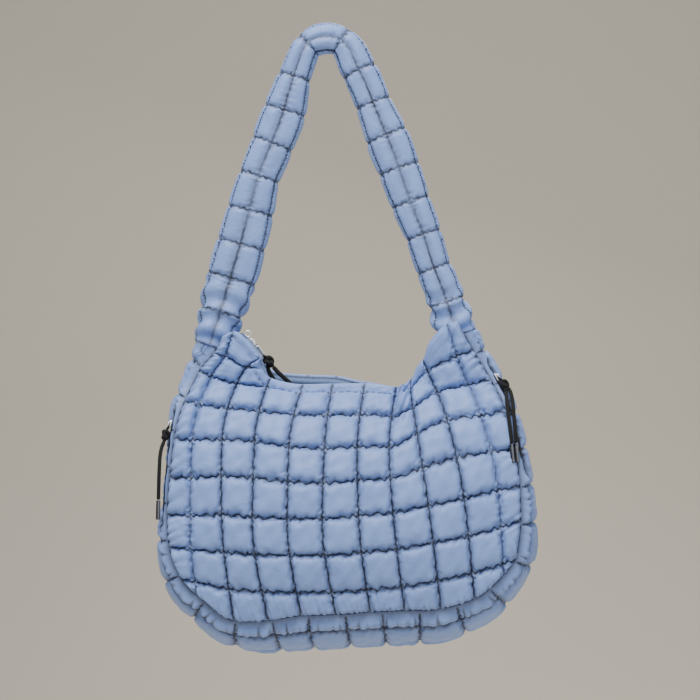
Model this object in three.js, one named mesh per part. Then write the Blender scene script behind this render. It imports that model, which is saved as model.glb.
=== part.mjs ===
// A quilted puffer tote bag, hanging by its one wide strap.
// Millimetres, +Z up, the front faces -Y, the origin is under the strap's crest where a hook would be.
import * as THREE from 'three';

// Driving dimensions
const panelWidth = 428; // widest part of the front panel's cloth
const panelDrop = 364; // from the strap's base to the lowest point of the panel
const panelShift = 34; // the body hangs this far to the right of the hook
const hookToBase = 327; // from the hook down to the strap's base
const bodyDepth = 166; // front to back at the fullest place
const seamThickness = 4; // padded cloth where it is sewn down
const panelPuff = 8; // how far a quilted cell of a panel stands proud of its seams
const gussetPuff = 7;
const gussetBulge = 37; // how far the gusset's middle sags below the bottom seams
const sewnGap = 1.1; // between two padded pieces that are sewn together
const strapGap = 0.5; // between the strap's flat ends and the gusset
const quiltPitch = 41; // distance from one quilting seam to the next
const strapSpread = 277; // between the strap's two ends, centre to centre
const strapWidth = 59;
const strapDepth = 30;
const strapPuff = 4;
const tapeWidth = 12;
const tapeThickness = 1.4;
const tapeGap = 1.9; // the tape is stitched on loosely enough to lie clear of the padding
const toothRadius = 1.6;
const pocketZipThickness = 1.4;
const cordDiameter = 4.4; // the side pockets' pull cords
const pullCordDiameter = 5.4; // the mouth zip's pull cord
const agletLength = 22;
const agletDiameter = 5;
const knotLength = 15;
const knotDiameter = 11;
const pocketKnotLength = 14;
const pocketKnotDiameter = 7.5;
const slider = { length: 12, width: 7, height: 5 };
const pocketSlider = { length: 10, width: 5, height: 4 };
const pullerLength = 15;
const pullerWidth = 6;
const pullerWire = 1.5;
const ringDiameter = 8.5;
const ringWire = 1.8;
const hardwareGap = 0.4; // between a small metal or cord piece and what carries it

// Finishes
const nylonFinish = { color: 0x8ca6d6, roughness: 0.55, metalness: 0 };
const tapeFinish = { color: 0x7f97c4, roughness: 0.8, metalness: 0 };
const zipFinish = { color: 0x1b1d24, roughness: 0.6, metalness: 0 };
const cordFinish = { color: 0x121214, roughness: 0.75, metalness: 0 };
const agletFinish = { color: 0x3a3d42, roughness: 0.45, metalness: 0.3 };
const metalFinish = { color: 0xd8dade, roughness: 0.2, metalness: 1 };

// The quilting of the panels, a row for each upright seam from left to right. Seams 0 and 11 lie just outside
// the cloth. x holds shares of panelWidth and drop shares of panelDrop, where the seam crosses seamRows.
const seamRows = [-2, -1, 0, 2, 4, 7];
const panelSeams = [
  { seam: 0, x: [0.108, 0.077, 0.041, 0.003, 0.0, 0.018], drop: [0.041, 0.062, 0.109, 0.342, 0.578, 0.865] },
  { seam: 1, x: [0.179, 0.161, 0.124, 0.084, 0.084, 0.108], drop: [0.025, 0.084, 0.149, 0.351, 0.584, 0.885] },
  { seam: 2, x: [0.259, 0.219, 0.193, 0.164, 0.169, 0.201], drop: [0.087, 0.118, 0.174, 0.351, 0.581, 0.919] },
  { seam: 3, x: [0.322, 0.296, 0.274, 0.251, 0.251, 0.293], drop: [0.068, 0.124, 0.186, 0.357, 0.587, 0.925] },
  { seam: 4, x: [0.396, 0.383, 0.369, 0.343, 0.343, 0.383], drop: [0.065, 0.127, 0.189, 0.373, 0.59, 0.925] },
  { seam: 5, x: [0.473, 0.462, 0.451, 0.438, 0.435, 0.475], drop: [0.062, 0.124, 0.189, 0.379, 0.59, 0.925] },
  { seam: 6, x: [0.549, 0.544, 0.538, 0.525, 0.53, 0.565], drop: [0.062, 0.124, 0.189, 0.373, 0.581, 0.919] },
  { seam: 7, x: [0.637, 0.631, 0.623, 0.609, 0.62, 0.654], drop: [0.075, 0.137, 0.199, 0.373, 0.571, 0.91] },
  { seam: 8, x: [0.668, 0.668, 0.665, 0.683, 0.712, 0.747], drop: [0.02, 0.099, 0.18, 0.332, 0.55, 0.888] },
  { seam: 9, x: [0.662, 0.686, 0.71, 0.763, 0.805, 0.834], drop: [-0.006, 0.062, 0.13, 0.292, 0.528, 0.866] },
  { seam: 10, x: [0.74, 0.763, 0.789, 0.852, 0.894, 0.91], drop: [-0.11, -0.016, 0.084, 0.276, 0.503, 0.839] },
  { seam: 11, x: [0.79, 0.831, 0.873, 0.942, 0.979, 0.995], drop: [-0.13, -0.037, 0.053, 0.261, 0.488, 0.79] },
];

// Where the cloth ends: its sides at each row, its rim and its bottom at each upright seam.
const panelSides = [
  { row: -2.5, left: 0.62, right: 10.3 },
  { row: -1, left: 0.62, right: 10.4 },
  { row: 0, left: 0.6, right: 10.52 },
  { row: 1, left: 0.5, right: 10.66 },
  { row: 2, left: 0.38, right: 10.75 },
  { row: 4, left: 0.24, right: 10.68 },
  { row: 5, left: 0.28, right: 10.62 },
  { row: 6, left: 0.58, right: 10.4 },
  { row: 6.5, left: 0.95, right: 10.05 },
  { row: 7, left: 1.5, right: 9.6 },
];
const frontRim = [
  { seam: 0.5, row: -2.1 },
  { seam: 1.1, row: -2.35 },
  { seam: 1.5, row: -2.3 },
  { seam: 2, row: -2.0 },
  { seam: 2.5, row: -1.1 },
  { seam: 3, row: -0.5 },
  { seam: 4, row: -0.22 },
  { seam: 6, row: -0.25 },
  { seam: 7, row: -0.25 },
  { seam: 8, row: -0.3 },
  { seam: 8.5, row: -0.5 },
  { seam: 9, row: -0.5 },
  { seam: 9.4, row: -0.85 },
  { seam: 10, row: -1.02 },
  { seam: 10.6, row: -0.95 },
];
const backRim = [
  { seam: 0.5, row: -2.1 },
  { seam: 1.1, row: -2.35 },
  { seam: 1.5, row: -2.3 },
  { seam: 2, row: -2.0 },
  { seam: 2.5, row: -1.25 },
  { seam: 3, row: -0.85 },
  { seam: 4, row: -0.75 },
  { seam: 5, row: -0.65 },
  { seam: 6, row: -0.35 },
  { seam: 7, row: -0.25 },
  { seam: 8, row: -0.3 },
  { seam: 9, row: -0.5 },
  { seam: 9.4, row: -0.85 },
  { seam: 10, row: -1.02 },
  { seam: 10.6, row: -0.95 },
];
const panelBottom = [
  { seam: 0.2, row: 5.9 },
  { seam: 0.6, row: 6.15 },
  { seam: 1, row: 6.45 },
  { seam: 2, row: 6.9 },
  { seam: 3, row: 6.83 },
  { seam: 4, row: 6.68 },
  { seam: 6, row: 6.62 },
  { seam: 7, row: 6.65 },
  { seam: 8, row: 6.8 },
  { seam: 9, row: 6.72 },
  { seam: 10, row: 6.32 },
  { seam: 10.6, row: 5.85 },
];

// How full the bag is: half its depth, in shares of half bodyDepth, by the drop from the strap's base.
const fullness = [
  { drop: -0.1, middle: 0.3, side: 0.3 },
  { drop: 0, middle: 0.32, side: 0.32 },
  { drop: 0.05, middle: 0.3, side: 0.33 },
  { drop: 0.1, middle: 0.25, side: 0.38 },
  { drop: 0.17, middle: 0.2, side: 0.47 },
  { drop: 0.25, middle: 0.42, side: 0.58 },
  { drop: 0.35, middle: 0.68, side: 0.66 },
  { drop: 0.5, middle: 0.9, side: 0.72 },
  { drop: 0.7, middle: 1.0, side: 0.76 },
  { drop: 0.85, middle: 0.9, side: 0.76 },
  { drop: 1, middle: 0.7, side: 0.74 },
];

// The gusset's bulge past the seams, in shares of gussetBulge, by share of its length from the left end.
const gussetSag = [
  { along: 0, out: 0.4 },
  { along: 0.03, out: 0.24 },
  { along: 0.06, out: 0.18 },
  { along: 0.09, out: 0.2 },
  { along: 0.115, out: 0.08 },
  { along: 0.15, out: -0.35 },
  { along: 0.19, out: -0.25 },
  { along: 0.24, out: 0.2 },
  { along: 0.27, out: 0.42 },
  { along: 0.31, out: 0.68 },
  { along: 0.36, out: 0.8 },
  { along: 0.45, out: 1.05 },
  { along: 0.58, out: 1.05 },
  { along: 0.65, out: 0.78 },
  { along: 0.7, out: 0.5 },
  { along: 0.78, out: 0.26 },
  { along: 0.9, out: 0.12 },
  { along: 0.95, out: 0.14 },
  { along: 1, out: 0.22 },
];
const gussetRows = [0, 0.09, 0.2, 0.29, 0.36, 0.44, 0.56, 0.64, 0.71, 0.8, 0.91, 1];
const gussetSeamRows = [0, 0.09, 0.36, 0.64, 0.91, 1];

// The strap, a row for each section from the left end over the crest to the right end. across is a share of
// strapSpread, down of hookToBase, wide of strapWidth and deep of strapDepth.
const strapSections = [
  { across: -0.475, down: 1.055, wide: 0.74, deep: 1.05 },
  { across: -0.445, down: 0.982, wide: 0.84, deep: 1.1 },
  { across: -0.407, down: 0.874, wide: 0.98, deep: 1.05 },
  { across: -0.369, down: 0.766, wide: 1.0, deep: 1.0 },
  { across: -0.333, down: 0.658, wide: 0.98, deep: 0.95 },
  { across: -0.301, down: 0.55, wide: 0.92, deep: 0.95 },
  { across: -0.267, down: 0.442, wide: 0.82, deep: 0.95 },
  { across: -0.216, down: 0.335, wide: 0.86, deep: 0.95 },
  { across: -0.167, down: 0.227, wide: 0.86, deep: 0.95 },
  { across: -0.129, down: 0.119, wide: 0.72, deep: 1.0 },
  { across: -0.102, down: 0.047, wide: 0.60, deep: 1.0 },
  { across: -0.06, down: -0.03, wide: 0.56, deep: 1.0 },
  { across: 0.0, down: -0.054, wide: 0.60, deep: 1.0 },
  { across: 0.064, down: -0.05, wide: 0.60, deep: 1.0 },
  { across: 0.112, down: -0.018, wide: 0.64, deep: 1.0 },
  { across: 0.148, down: 0.047, wide: 0.70, deep: 1.0 },
  { across: 0.189, down: 0.119, wide: 0.70, deep: 0.95 },
  { across: 0.239, down: 0.227, wide: 0.76, deep: 0.95 },
  { across: 0.292, down: 0.335, wide: 0.86, deep: 0.95 },
  { across: 0.337, down: 0.442, wide: 0.84, deep: 0.95 },
  { across: 0.381, down: 0.55, wide: 0.78, deep: 0.95 },
  { across: 0.43, down: 0.658, wide: 0.72, deep: 0.95 },
  { across: 0.47, down: 0.766, wide: 0.70, deep: 1.0 },
  { across: 0.519, down: 0.874, wide: 0.72, deep: 1.05 },
  { across: 0.56, down: 0.982, wide: 0.84, deep: 1.1 },
  { across: 0.575, down: 1.02, wide: 0.84, deep: 1.05 },
];

// A monotone cubic through one column of a table, held flat past its ends or carried on straight.
function through(xs, ys, at, carryOn = false) {
  const last = xs.length - 1;
  if (!carryOn && at <= xs[0]) return ys[0];
  if (!carryOn && at >= xs[last]) return ys[last];
  const slope = (k) => (ys[k + 1] - ys[k]) / (xs[k + 1] - xs[k]);
  const tangent = (k) => {
    if (k === 0) return slope(0);
    if (k === last) return slope(last - 1);
    return slope(k - 1) * slope(k) <= 0 ? 0 : (2 * slope(k - 1) * slope(k)) / (slope(k - 1) + slope(k));
  };
  if (at < xs[0]) return ys[0] + (at - xs[0]) * slope(0);
  if (at > xs[last]) return ys[last] + (at - xs[last]) * slope(last - 1);
  let k = 0;
  while (k < last - 1 && at > xs[k + 1]) k += 1;
  const span = xs[k + 1] - xs[k];
  const u = (at - xs[k]) / span;
  const rise = u * u * (3 - 2 * u);
  const first = tangent(k) * span * u * (1 - u) * (1 - u);
  const second = tangent(k + 1) * span * u * u * (1 - u);
  return ys[k] + (ys[k + 1] - ys[k]) * rise + first - second;
}

const column = (table, name) => table.map((row) => row[name]);
const look = (table, key, name, at) => through(column(table, key), column(table, name), at);

// A place on the flat cloth, by seam and row numbers, as shares of the panel's width and drop.
function clothShares(seam, row) {
  const seams = column(panelSeams, 'seam');
  const alongRow = (name) => panelSeams.map((line) => through(seamRows, line[name], row, true));
  return { x: through(seams, alongRow('x'), seam, true), drop: through(seams, alongRow('drop'), seam, true) };
}

// The middle of the padded wall on the front (side -1) or the back (side 1).
function panelPoint(seam, row, side) {
  const { x, drop } = clothShares(seam, row);
  const outwards = Math.min(1, Math.abs(2 * x - 1)) ** 2.5;
  const middle = look(fullness, 'drop', 'middle', drop);
  const edge = look(fullness, 'drop', 'side', drop);
  const halfDepth = (bodyDepth / 2) * (middle + (edge - middle) * outwards);
  return new THREE.Vector3(
    panelShift + (x - 0.5) * panelWidth,
    side * halfDepth,
    -hookToBase - drop * panelDrop,
  );
}

const clamp = THREE.MathUtils.clamp;

// Brings a seam and row that lie past the cut edge back onto it.
function trimmed(seam, row, rim) {
  const sideAt = (name, at) => look(panelSides, 'row', name, at);
  const rowWithin = (s, t) => clamp(t, look(rim, 'seam', 'row', s), look(panelBottom, 'seam', 'row', s));
  const seamWithin = (s, t) => clamp(s, sideAt('left', t), sideAt('right', t));
  let [s, t] = [seam, row];
  for (let pass = 0; pass < 4; pass += 1) {
    t = rowWithin(s, t);
    s = seamWithin(s, t);
  }
  return [s, rowWithin(s, t)];
}

// 0 on a quilting seam and 1 on the flat of the cell between two seams.
function cellHill(place) {
  const fraction = place - Math.floor(place);
  return THREE.MathUtils.smoothstep(Math.min(fraction, 1 - fraction), 0, 0.25);
}

// How far a place stands from the cut edge, 0 on it and 1 at a third of a cell inside.
function edgeHill(seam, row, rim) {
  const fromSide = Math.min(
    seam - look(panelSides, 'row', 'left', row),
    look(panelSides, 'row', 'right', row) - seam,
  );
  const fromEnds = Math.min(
    row - look(rim, 'seam', 'row', seam),
    look(panelBottom, 'seam', 'row', seam) - row,
  );
  return THREE.MathUtils.smoothstep(Math.min(fromSide, fromEnds), 0, 0.33);
}

// Stations across a number of cells: each seam, and two places on the flat of each cell.
function cellStations(first, last, perCell) {
  const flats = perCell === 1 ? [0] : [0, 0.27, 0.73];
  const stations = [];
  for (let cell = first; cell < last; cell += 1) flats.forEach((flat) => stations.push(cell + flat));
  stations.push(last);
  return stations;
}

// A grid of places as a sheet: vertices by key, triangles, and its four sides in order.
function sheetOf(columns, rows, placeAt) {
  const vertices = [];
  const index = new Map();
  const idAt = columns.map((c) =>
    rows.map((r) => {
      const { key, point } = placeAt(c, r);
      if (!index.has(key)) {
        index.set(key, vertices.length);
        vertices.push(point);
      }
      return index.get(key);
    }),
  );
  const triangles = [];
  const add = (a, b, c) => {
    if (a !== b && b !== c && a !== c) triangles.push([a, b, c]);
  };
  for (let i = 0; i + 1 < columns.length; i += 1) {
    for (let j = 0; j + 1 < rows.length; j += 1) {
      const [a, b, c, d] = [idAt[i][j], idAt[i][j + 1], idAt[i + 1][j + 1], idAt[i + 1][j]];
      if (vertices[a].distanceTo(vertices[c]) <= vertices[b].distanceTo(vertices[d])) {
        add(a, b, c);
        add(a, c, d);
      } else {
        add(a, b, d);
        add(b, c, d);
      }
    }
  }
  const lastColumn = columns.length - 1;
  const lastRow = rows.length - 1;
  const distinct = (ids) => ids.filter((id, k) => k === 0 || id !== ids[k - 1]);
  const sides = [
    distinct(idAt[0]),
    distinct(columns.map((_, i) => idAt[i][lastRow])),
    distinct([...idAt[lastColumn]].reverse()),
    distinct(columns.map((_, i) => idAt[lastColumn - i][0])),
  ];
  return { vertices, triangles, sides };
}

// Triangles that join two edges which run side by side, each by its own share of the way.
function zipped(edgeA, edgeB, verticesA, verticesB, offsetB) {
  const shares = (ids, vertices) => {
    const sums = [0];
    for (let k = 1; k < ids.length; k += 1) {
      sums.push(sums[k - 1] + vertices[ids[k]].distanceTo(vertices[ids[k - 1]]));
    }
    return sums.map((sum) => sum / sums[sums.length - 1]);
  };
  const [shareA, shareB] = [shares(edgeA, verticesA), shares(edgeB, verticesB)];
  const faces = [];
  let [i, j] = [0, 0];
  while (i + 1 < edgeA.length || j + 1 < edgeB.length) {
    const stepA = i + 1 < edgeA.length && (j + 1 >= edgeB.length || shareA[i + 1] <= shareB[j + 1]);
    if (stepA) {
      faces.push([edgeA[i], edgeB[j] + offsetB, edgeA[i + 1]]);
      i += 1;
    } else {
      faces.push([edgeA[i], edgeB[j] + offsetB, edgeB[j + 1] + offsetB]);
      j += 1;
    }
  }
  return faces;
}

function geometryOf(vertices, triangles) {
  const positions = new Float32Array(vertices.flatMap((v) => [v.x, v.y, v.z]));
  const geometry = new THREE.BufferGeometry();
  geometry.setAttribute('position', new THREE.BufferAttribute(positions, 3));
  geometry.setIndex(triangles.flat());
  const volume = triangles.reduce(
    (sum, [a, b, c]) => sum + vertices[a].dot(new THREE.Vector3().crossVectors(vertices[b], vertices[c])),
    0,
  );
  if (volume < 0) geometry.setIndex(triangles.map(([a, b, c]) => [a, c, b]).flat());
  geometry.computeVertexNormals();
  return geometry;
}

// A padded wall: a fine outer sheet and a plain inner one, closed along their four sides.
function wallGeometry(outer, inner) {
  const offset = outer.vertices.length;
  const innerFaces = inner.triangles.map(([a, b, c]) => [a + offset, c + offset, b + offset]);
  const rims = outer.sides.flatMap((side, k) =>
    zipped(side, inner.sides[k], outer.vertices, inner.vertices, offset),
  );
  return geometryOf([...outer.vertices, ...inner.vertices], [...outer.triangles, ...innerFaces, ...rims]);
}

// The outward direction of a surface given by two numbers, from its slopes.
function normalOf(surface, u, v, step, towards) {
  const alongU = surface(u + step, v).sub(surface(u - step, v));
  const alongV = surface(u, v + step).sub(surface(u, v - step));
  const normal = alongU.cross(alongV).normalize();
  return normal.dot(towards) < 0 ? normal.negate() : normal;
}

function panelSheet(side, rim, perCell, heightAt) {
  const columns = cellStations(0, 11, perCell);
  const rows = cellStations(-3, 7, perCell);
  const outwards = new THREE.Vector3(0, side, 0);
  const surface = (s, t) => panelPoint(s, t, side);
  return sheetOf(columns, rows, (seam, row) => {
    const [s, t] = trimmed(seam, row, rim);
    const inside = edgeHill(s, t, rim);
    const direction = outwards.clone().lerp(normalOf(surface, s, t, 0.05, outwards), Math.min(1, inside * 3));
    const point = surface(s, t).addScaledVector(direction.normalize(), heightAt(s, t, inside));
    return { key: `${s.toFixed(3)} ${t.toFixed(3)}`, point };
  });
}

function panelGeometry(side, rim) {
  const puffed = (s, t, inside) => seamThickness / 2 + panelPuff * cellHill(s) * cellHill(t) * inside;
  const outer = panelSheet(side, rim, 3, puffed);
  const inner = panelSheet(side, rim, 1, () => -seamThickness / 2);
  return wallGeometry(outer, inner);
}

// The sewn edge of the front panel, from the left peak down, along the bottom and up to the right peak.
function sewnEdge() {
  const sheet = panelSheet(-1, frontRim, 3, () => 0);
  const [left, bottom, right] = sheet.sides;
  const ids = [...left, ...bottom, ...right].filter((id, k, all) => k === 0 || id !== all[k - 1]);
  const path = new THREE.CurvePath();
  ids.slice(1).forEach((id, k) => {
    path.add(new THREE.LineCurve3(sheet.vertices[ids[k]], sheet.vertices[id]));
  });
  return path;
}

const edgeCurve = sewnEdge();
const edgeLength = edgeCurve.getLength();
const edgeAt = (along) => edgeCurve.getPointAt(clamp(along, 0, 1));

// Away from the panel's middle, in the plane of the panel, at a share of the sewn edge.
function edgeOutwards(along) {
  const reach = 0.012;
  const heading = edgeAt(along + reach).sub(edgeAt(along - reach));
  return new THREE.Vector3(heading.z, 0, -heading.x).normalize();
}

// A place on the gusset's middle surface: along its length and across from the front (0) to the back (1).
function gussetPoint(along, across) {
  const place = edgeAt(along);
  const out = look(gussetSag, 'along', 'out', along);
  const arc = Math.sin(Math.PI * across) ** (out < 0 ? 3 : 0.8);
  const sag = gussetBulge * out * arc;
  const halfWidth = Math.abs(place.y) + seamThickness / 2;
  return new THREE.Vector3(place.x, (2 * across - 1) * halfWidth, place.z)
    .addScaledVector(edgeOutwards(along), sewnGap + seamThickness / 2 + sag);
}

const strapCurve = new THREE.CatmullRomCurve3(
  strapSections.map((row) => new THREE.Vector3(row.across * strapSpread, 0, -row.down * hookToBase)),
  false,
  'centripetal',
);

// Keeps the gusset's two ends clear of the strap's flat ends, which they are sewn to.
function clearOfStrap(point) {
  const moved = point.clone();
  [0, 1].forEach((end) => {
    const centre = strapCurve.getPointAt(end);
    const away = strapCurve.getTangentAt(end).multiplyScalar(end === 0 ? -1 : 1);
    const beyond = point.clone().sub(centre).dot(away);
    const near = point.distanceTo(centre) < 2 * strapWidth;
    if (near && beyond < strapGap) moved.addScaledVector(away, strapGap - beyond);
  });
  return moved;
}

function gussetSheet(columns, rows, heightAt) {
  return sheetOf(columns, rows, (cell, across) => {
    const along = cell / gussetCells;
    const square = edgeOutwards(along);
    const atEdge = across === 0 || across === 1;
    const a = clamp(across, 0.02, 0.98);
    const step = Math.min(0.004, 0.5 / gussetCells);
    const safeAlong = clamp(along, step, 1 - step);
    const direction = atEdge ? square : normalOf(gussetPoint, safeAlong, a, step, square);
    const point = clearOfStrap(
      gussetPoint(along, across).addScaledVector(direction, heightAt(cell, across)),
    );
    return { key: `${cell.toFixed(3)} ${across.toFixed(3)}`, point };
  });
}

const gussetCells = Math.round(edgeLength / quiltPitch);

function gussetGeometry() {
  const onSeam = (across) => gussetSeamRows.some((row) => Math.abs(row - across) < 0.005);
  const narrow = (across) => across < gussetSeamRows[1] || across > gussetSeamRows[4];
  const puffed = (cell, across) => {
    const flat = onSeam(across) || narrow(across) ? 0 : 1;
    const inset = clamp(Math.min(cell, gussetCells - cell), 0, 1);
    return seamThickness / 2 + gussetPuff * cellHill(cell) * flat * inset;
  };
  const outer = gussetSheet(cellStations(0, gussetCells, 3), gussetRows, puffed);
  const inner = gussetSheet(cellStations(0, gussetCells, 3), gussetSeamRows, () => -seamThickness / 2);
  return wallGeometry(outer, inner);
}

// A closed loft through rings of equal counts, capped by a fan at both ends.
function loftGeometry(rings) {
  const count = rings[0].length;
  const vertices = rings.flat();
  const triangles = [];
  for (let k = 0; k + 1 < rings.length; k += 1) {
    for (let i = 0; i < count; i += 1) {
      const [a, b] = [k * count + i, k * count + ((i + 1) % count)];
      const [c, d] = [b + count, a + count];
      triangles.push([a, b, c], [a, c, d]);
    }
  }
  [0, rings.length - 1].forEach((k) => {
    const centre = vertices.length;
    vertices.push(rings[k].reduce((sum, v) => sum.add(v), new THREE.Vector3()).divideScalar(count));
    for (let i = 0; i < count; i += 1) {
      const [a, b] = [k * count + i, k * count + ((i + 1) % count)];
      triangles.push(k === 0 ? [centre, b, a] : [centre, a, b]);
    }
  });
  return geometryOf(vertices, triangles);
}

const strapLength = strapCurve.getLength();
const strapCells = Math.round(strapLength / quiltPitch);
const strapSeamsAround = 6;

// The share of the strap's sections at an even share of its length.
function strapSize(name, along) {
  const u = strapCurve.getUtoTmapping(along);
  const rows = strapSections.map((_, k) => k / (strapSections.length - 1));
  return through(rows, column(strapSections, name), u);
}

// One ring of the strap: a flattened oval, swollen between its seams.
function strapRing(along, puff) {
  const centre = strapCurve.getPointAt(along);
  const heading = strapCurve.getTangentAt(along);
  const sideways = new THREE.Vector3(-heading.z, 0, heading.x);
  const sizeOf = (name, full) => (full * strapSize(name, along)) / 2;
  const half = { wide: sizeOf('wide', strapWidth), deep: sizeOf('deep', strapDepth) };
  const ring = [];
  for (let i = 0; i < strapSeamsAround * 2; i += 1) {
    const angle = (i * Math.PI) / strapSeamsAround;
    const swell = puff * (i % 2 === 0 ? 1 : 0.15);
    const [c, s] = [Math.cos(angle), Math.sin(angle)];
    const across = Math.sign(c) * Math.abs(c) ** 0.8 * (half.wide - strapPuff + swell);
    const deep = Math.sign(s) * Math.abs(s) ** 0.8 * (half.deep - strapPuff + swell);
    ring.push(centre.clone().addScaledVector(sideways, across).add(new THREE.Vector3(0, deep, 0)));
  }
  return ring;
}

function strapGeometry() {
  const stations = cellStations(0, strapCells, 3);
  return loftGeometry(
    stations.map((cell) => {
      const capped = cell === 0 || cell === strapCells;
      return strapRing(cell / strapCells, capped ? 0 : strapPuff * (0.25 + 0.75 * cellHill(cell)));
    }),
  );
}

// A place on a rim with its directions: along the rim to the right, down the cloth, and into the mouth.
function rimFrame(seam, side, rim) {
  const rowAt = (at) => look(rim, 'seam', 'row', at);
  const origin = panelPoint(seam, rowAt(seam), side);
  const below = panelPoint(seam, rowAt(seam) + tapeWidth / quiltPitch, side);
  const ahead = panelPoint(seam + 0.2, rowAt(seam + 0.2), side);
  return {
    origin,
    down: below.sub(origin).normalize(),
    along: ahead.sub(origin).normalize(),
    inwards: new THREE.Vector3(0, -side, 0),
  };
}

// How far the zip's tape stands above the rim, by upright seam: it shows only by the slider.
const tapeStand = [
  { seam: 1.4, above: 3.5 },
  { seam: 2, above: 2 },
  { seam: 3, above: -1 },
  { seam: 9, above: -1 },
];
const tapeInset = seamThickness / 2 + tapeGap;

// Half of the mouth's zip: a flat tape inside the rim with its row of teeth along the top.
function zipTapeGeometry(side, rim) {
  const places = [tapeStand[0].seam, ...cellStations(2, 9, 1)];
  const rings = places.map((seam) => {
    const { origin, down, inwards } = rimFrame(seam, side, rim);
    const top = -look(tapeStand, 'seam', 'above', seam);
    const at = (depth, inset) => origin.clone().addScaledVector(down, depth).addScaledVector(inwards, inset);
    const teethBottom = top + 2 * toothRadius;
    const flat = tapeInset + tapeThickness;
    return [
      at(top, tapeInset),
      at(top + tapeWidth, tapeInset),
      at(top + tapeWidth, flat),
      at(teethBottom, flat),
      at(teethBottom, flat + toothRadius),
      at(top, flat + toothRadius),
    ];
  });
  return loftGeometry(rings);
}

// A slider's side view, flat underneath with a bridge on top, made as wide as the slider.
function sliderGeometry({ length, width, height }) {
  const [half, deck, foot, arch] = [length / 2, height * 0.6, length * 0.28, length * 0.16];
  const outline = new THREE.Shape();
  outline.moveTo(-half, 0);
  [[half, 0], [half, deck], [foot, deck], [arch, height], [-arch, height], [-foot, deck], [-half, deck]].forEach(
    ([x, y]) => outline.lineTo(x, y),
  );
  const geometry = new THREE.ExtrudeGeometry(outline, { depth: width, bevelEnabled: false });
  return geometry.translate(0, 0, -width / 2);
}

// The slider's long flat wire loop, which the cord is tied through.
function pullerGeometry() {
  const stadium = (length, width, target) => {
    const straight = (length - width) / 2;
    target.absarc(straight, 0, width / 2, -Math.PI / 2, Math.PI / 2, false);
    target.absarc(-straight, 0, width / 2, Math.PI / 2, (3 * Math.PI) / 2, false);
    return target;
  };
  const outline = stadium(pullerLength, pullerWidth, new THREE.Shape());
  outline.holes.push(stadium(pullerLength - 2 * pullerWire, pullerWidth - 2 * pullerWire, new THREE.Path()));
  const options = { depth: pullerWire, bevelEnabled: false, curveSegments: 5 };
  return new THREE.ExtrudeGeometry(outline, options).translate(0, 0, -pullerWire / 2);
}

// A tied knot as one turned lump, waisted where the cord wraps round itself.
function knotGeometry(length, diameter) {
  const profile = [
    { along: -0.5, wide: 0 },
    { along: -0.46, wide: 0.5 },
    { along: -0.3, wide: 0.85 },
    { along: -0.1, wide: 0.8 },
    { along: 0.05, wide: 1 },
    { along: 0.25, wide: 0.95 },
    { along: 0.44, wide: 0.55 },
    { along: 0.5, wide: 0 },
  ];
  const points = profile.map(({ along, wide }) => new THREE.Vector2((wide * diameter) / 2, along * length));
  return new THREE.LatheGeometry(points, 10);
}

// A round cord along a route of chosen points.
function cordGeometry(points, diameter, steps) {
  const route = new THREE.CatmullRomCurve3(points.map(([x, y, z]) => new THREE.Vector3(x, y, z)));
  const section = new THREE.Shape();
  section.absarc(0, 0, diameter / 2, 0, Math.PI * 2, false);
  const options = { extrudePath: route, steps, curveSegments: 4, bevelEnabled: false };
  return new THREE.ExtrudeGeometry(section, options);
}

// The outer face of the gusset's narrow first row, where the side pockets' zips are sewn.
function pocketFace(cell) {
  const along = cell / gussetCells;
  const half = seamThickness / 2;
  const edge = gussetPoint(along, 0).addScaledVector(edgeOutwards(along), half);
  const square = edgeOutwards(along);
  const seam = gussetPoint(along, gussetSeamRows[1]);
  seam.addScaledVector(normalOf(gussetPoint, along, gussetSeamRows[1], 0.004, square), half);
  const across = seam.clone().sub(edge);
  const heading = edgeAt(along + 0.012).sub(edgeAt(along - 0.012)).normalize();
  const normal = across.clone().cross(heading).normalize();
  if (normal.dot(square) < 0) normal.negate();
  return { edge, across, heading, normal };
}

// The free cords' routes, chosen by hand from each knot down.
const mouthCordLong = [
  [-56.9, -10.2, -369.4], [-51, -9, -376], [-44, -7.2, -382.5], [-37, -5.6, -389], [-31, -4.6, -396.5],
  [-27, -4.1, -406], [-25, -3.8, -418], [-24, -3.5, -431], [-23.5, -3.2, -444],
];
const mouthCordShort = [
  [-63.6, -8.2, -370.9], [-60, -7, -378.5], [-55.5, -6, -386], [-52.5, -5, -395], [-51.5, -4, -405], [-51, -3.5, -416],
];
const leftPocketCord = [
  [-177.1, -54.7, -455.9], [-179.3, -58.6, -463], [-180.4, -62.5, -472], [-180.6, -65.4, -483],
  [-180.8, -67, -496], [-181, -67.6, -510], [-181.2, -67.9, -522],
];
const rightPocketCordInner = [
  [213.6, -38.6, -398.4], [213.8, -47, -407], [214.3, -52.4, -415.5], [215.2, -56.6, -425], [216.5, -60.4, -436],
  [217.6, -63.2, -448], [218.3, -64.8, -458],
];
const rightPocketCordOuter = [
  [217.9, -37.2, -396.6], [220, -42.6, -405], [221, -47.8, -413.5], [221.6, -52.6, -423], [222.2, -57, -434],
  [223, -60.8, -446], [223.6, -63.2, -457],
];

// Where each side pocket's zip runs, in quilted cells from its own end of the gusset.
const pocketZips = [
  { side: 'left', first: 2.73, last: 5.27, cords: [leftPocketCord] },
  { side: 'right', first: 1.73, last: 4.27, cords: [rightPocketCordInner, rightPocketCordOuter] },
];

const cellFromEnd = (side, cells) => (side === 'left' ? cells : gussetCells - cells);

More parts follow.
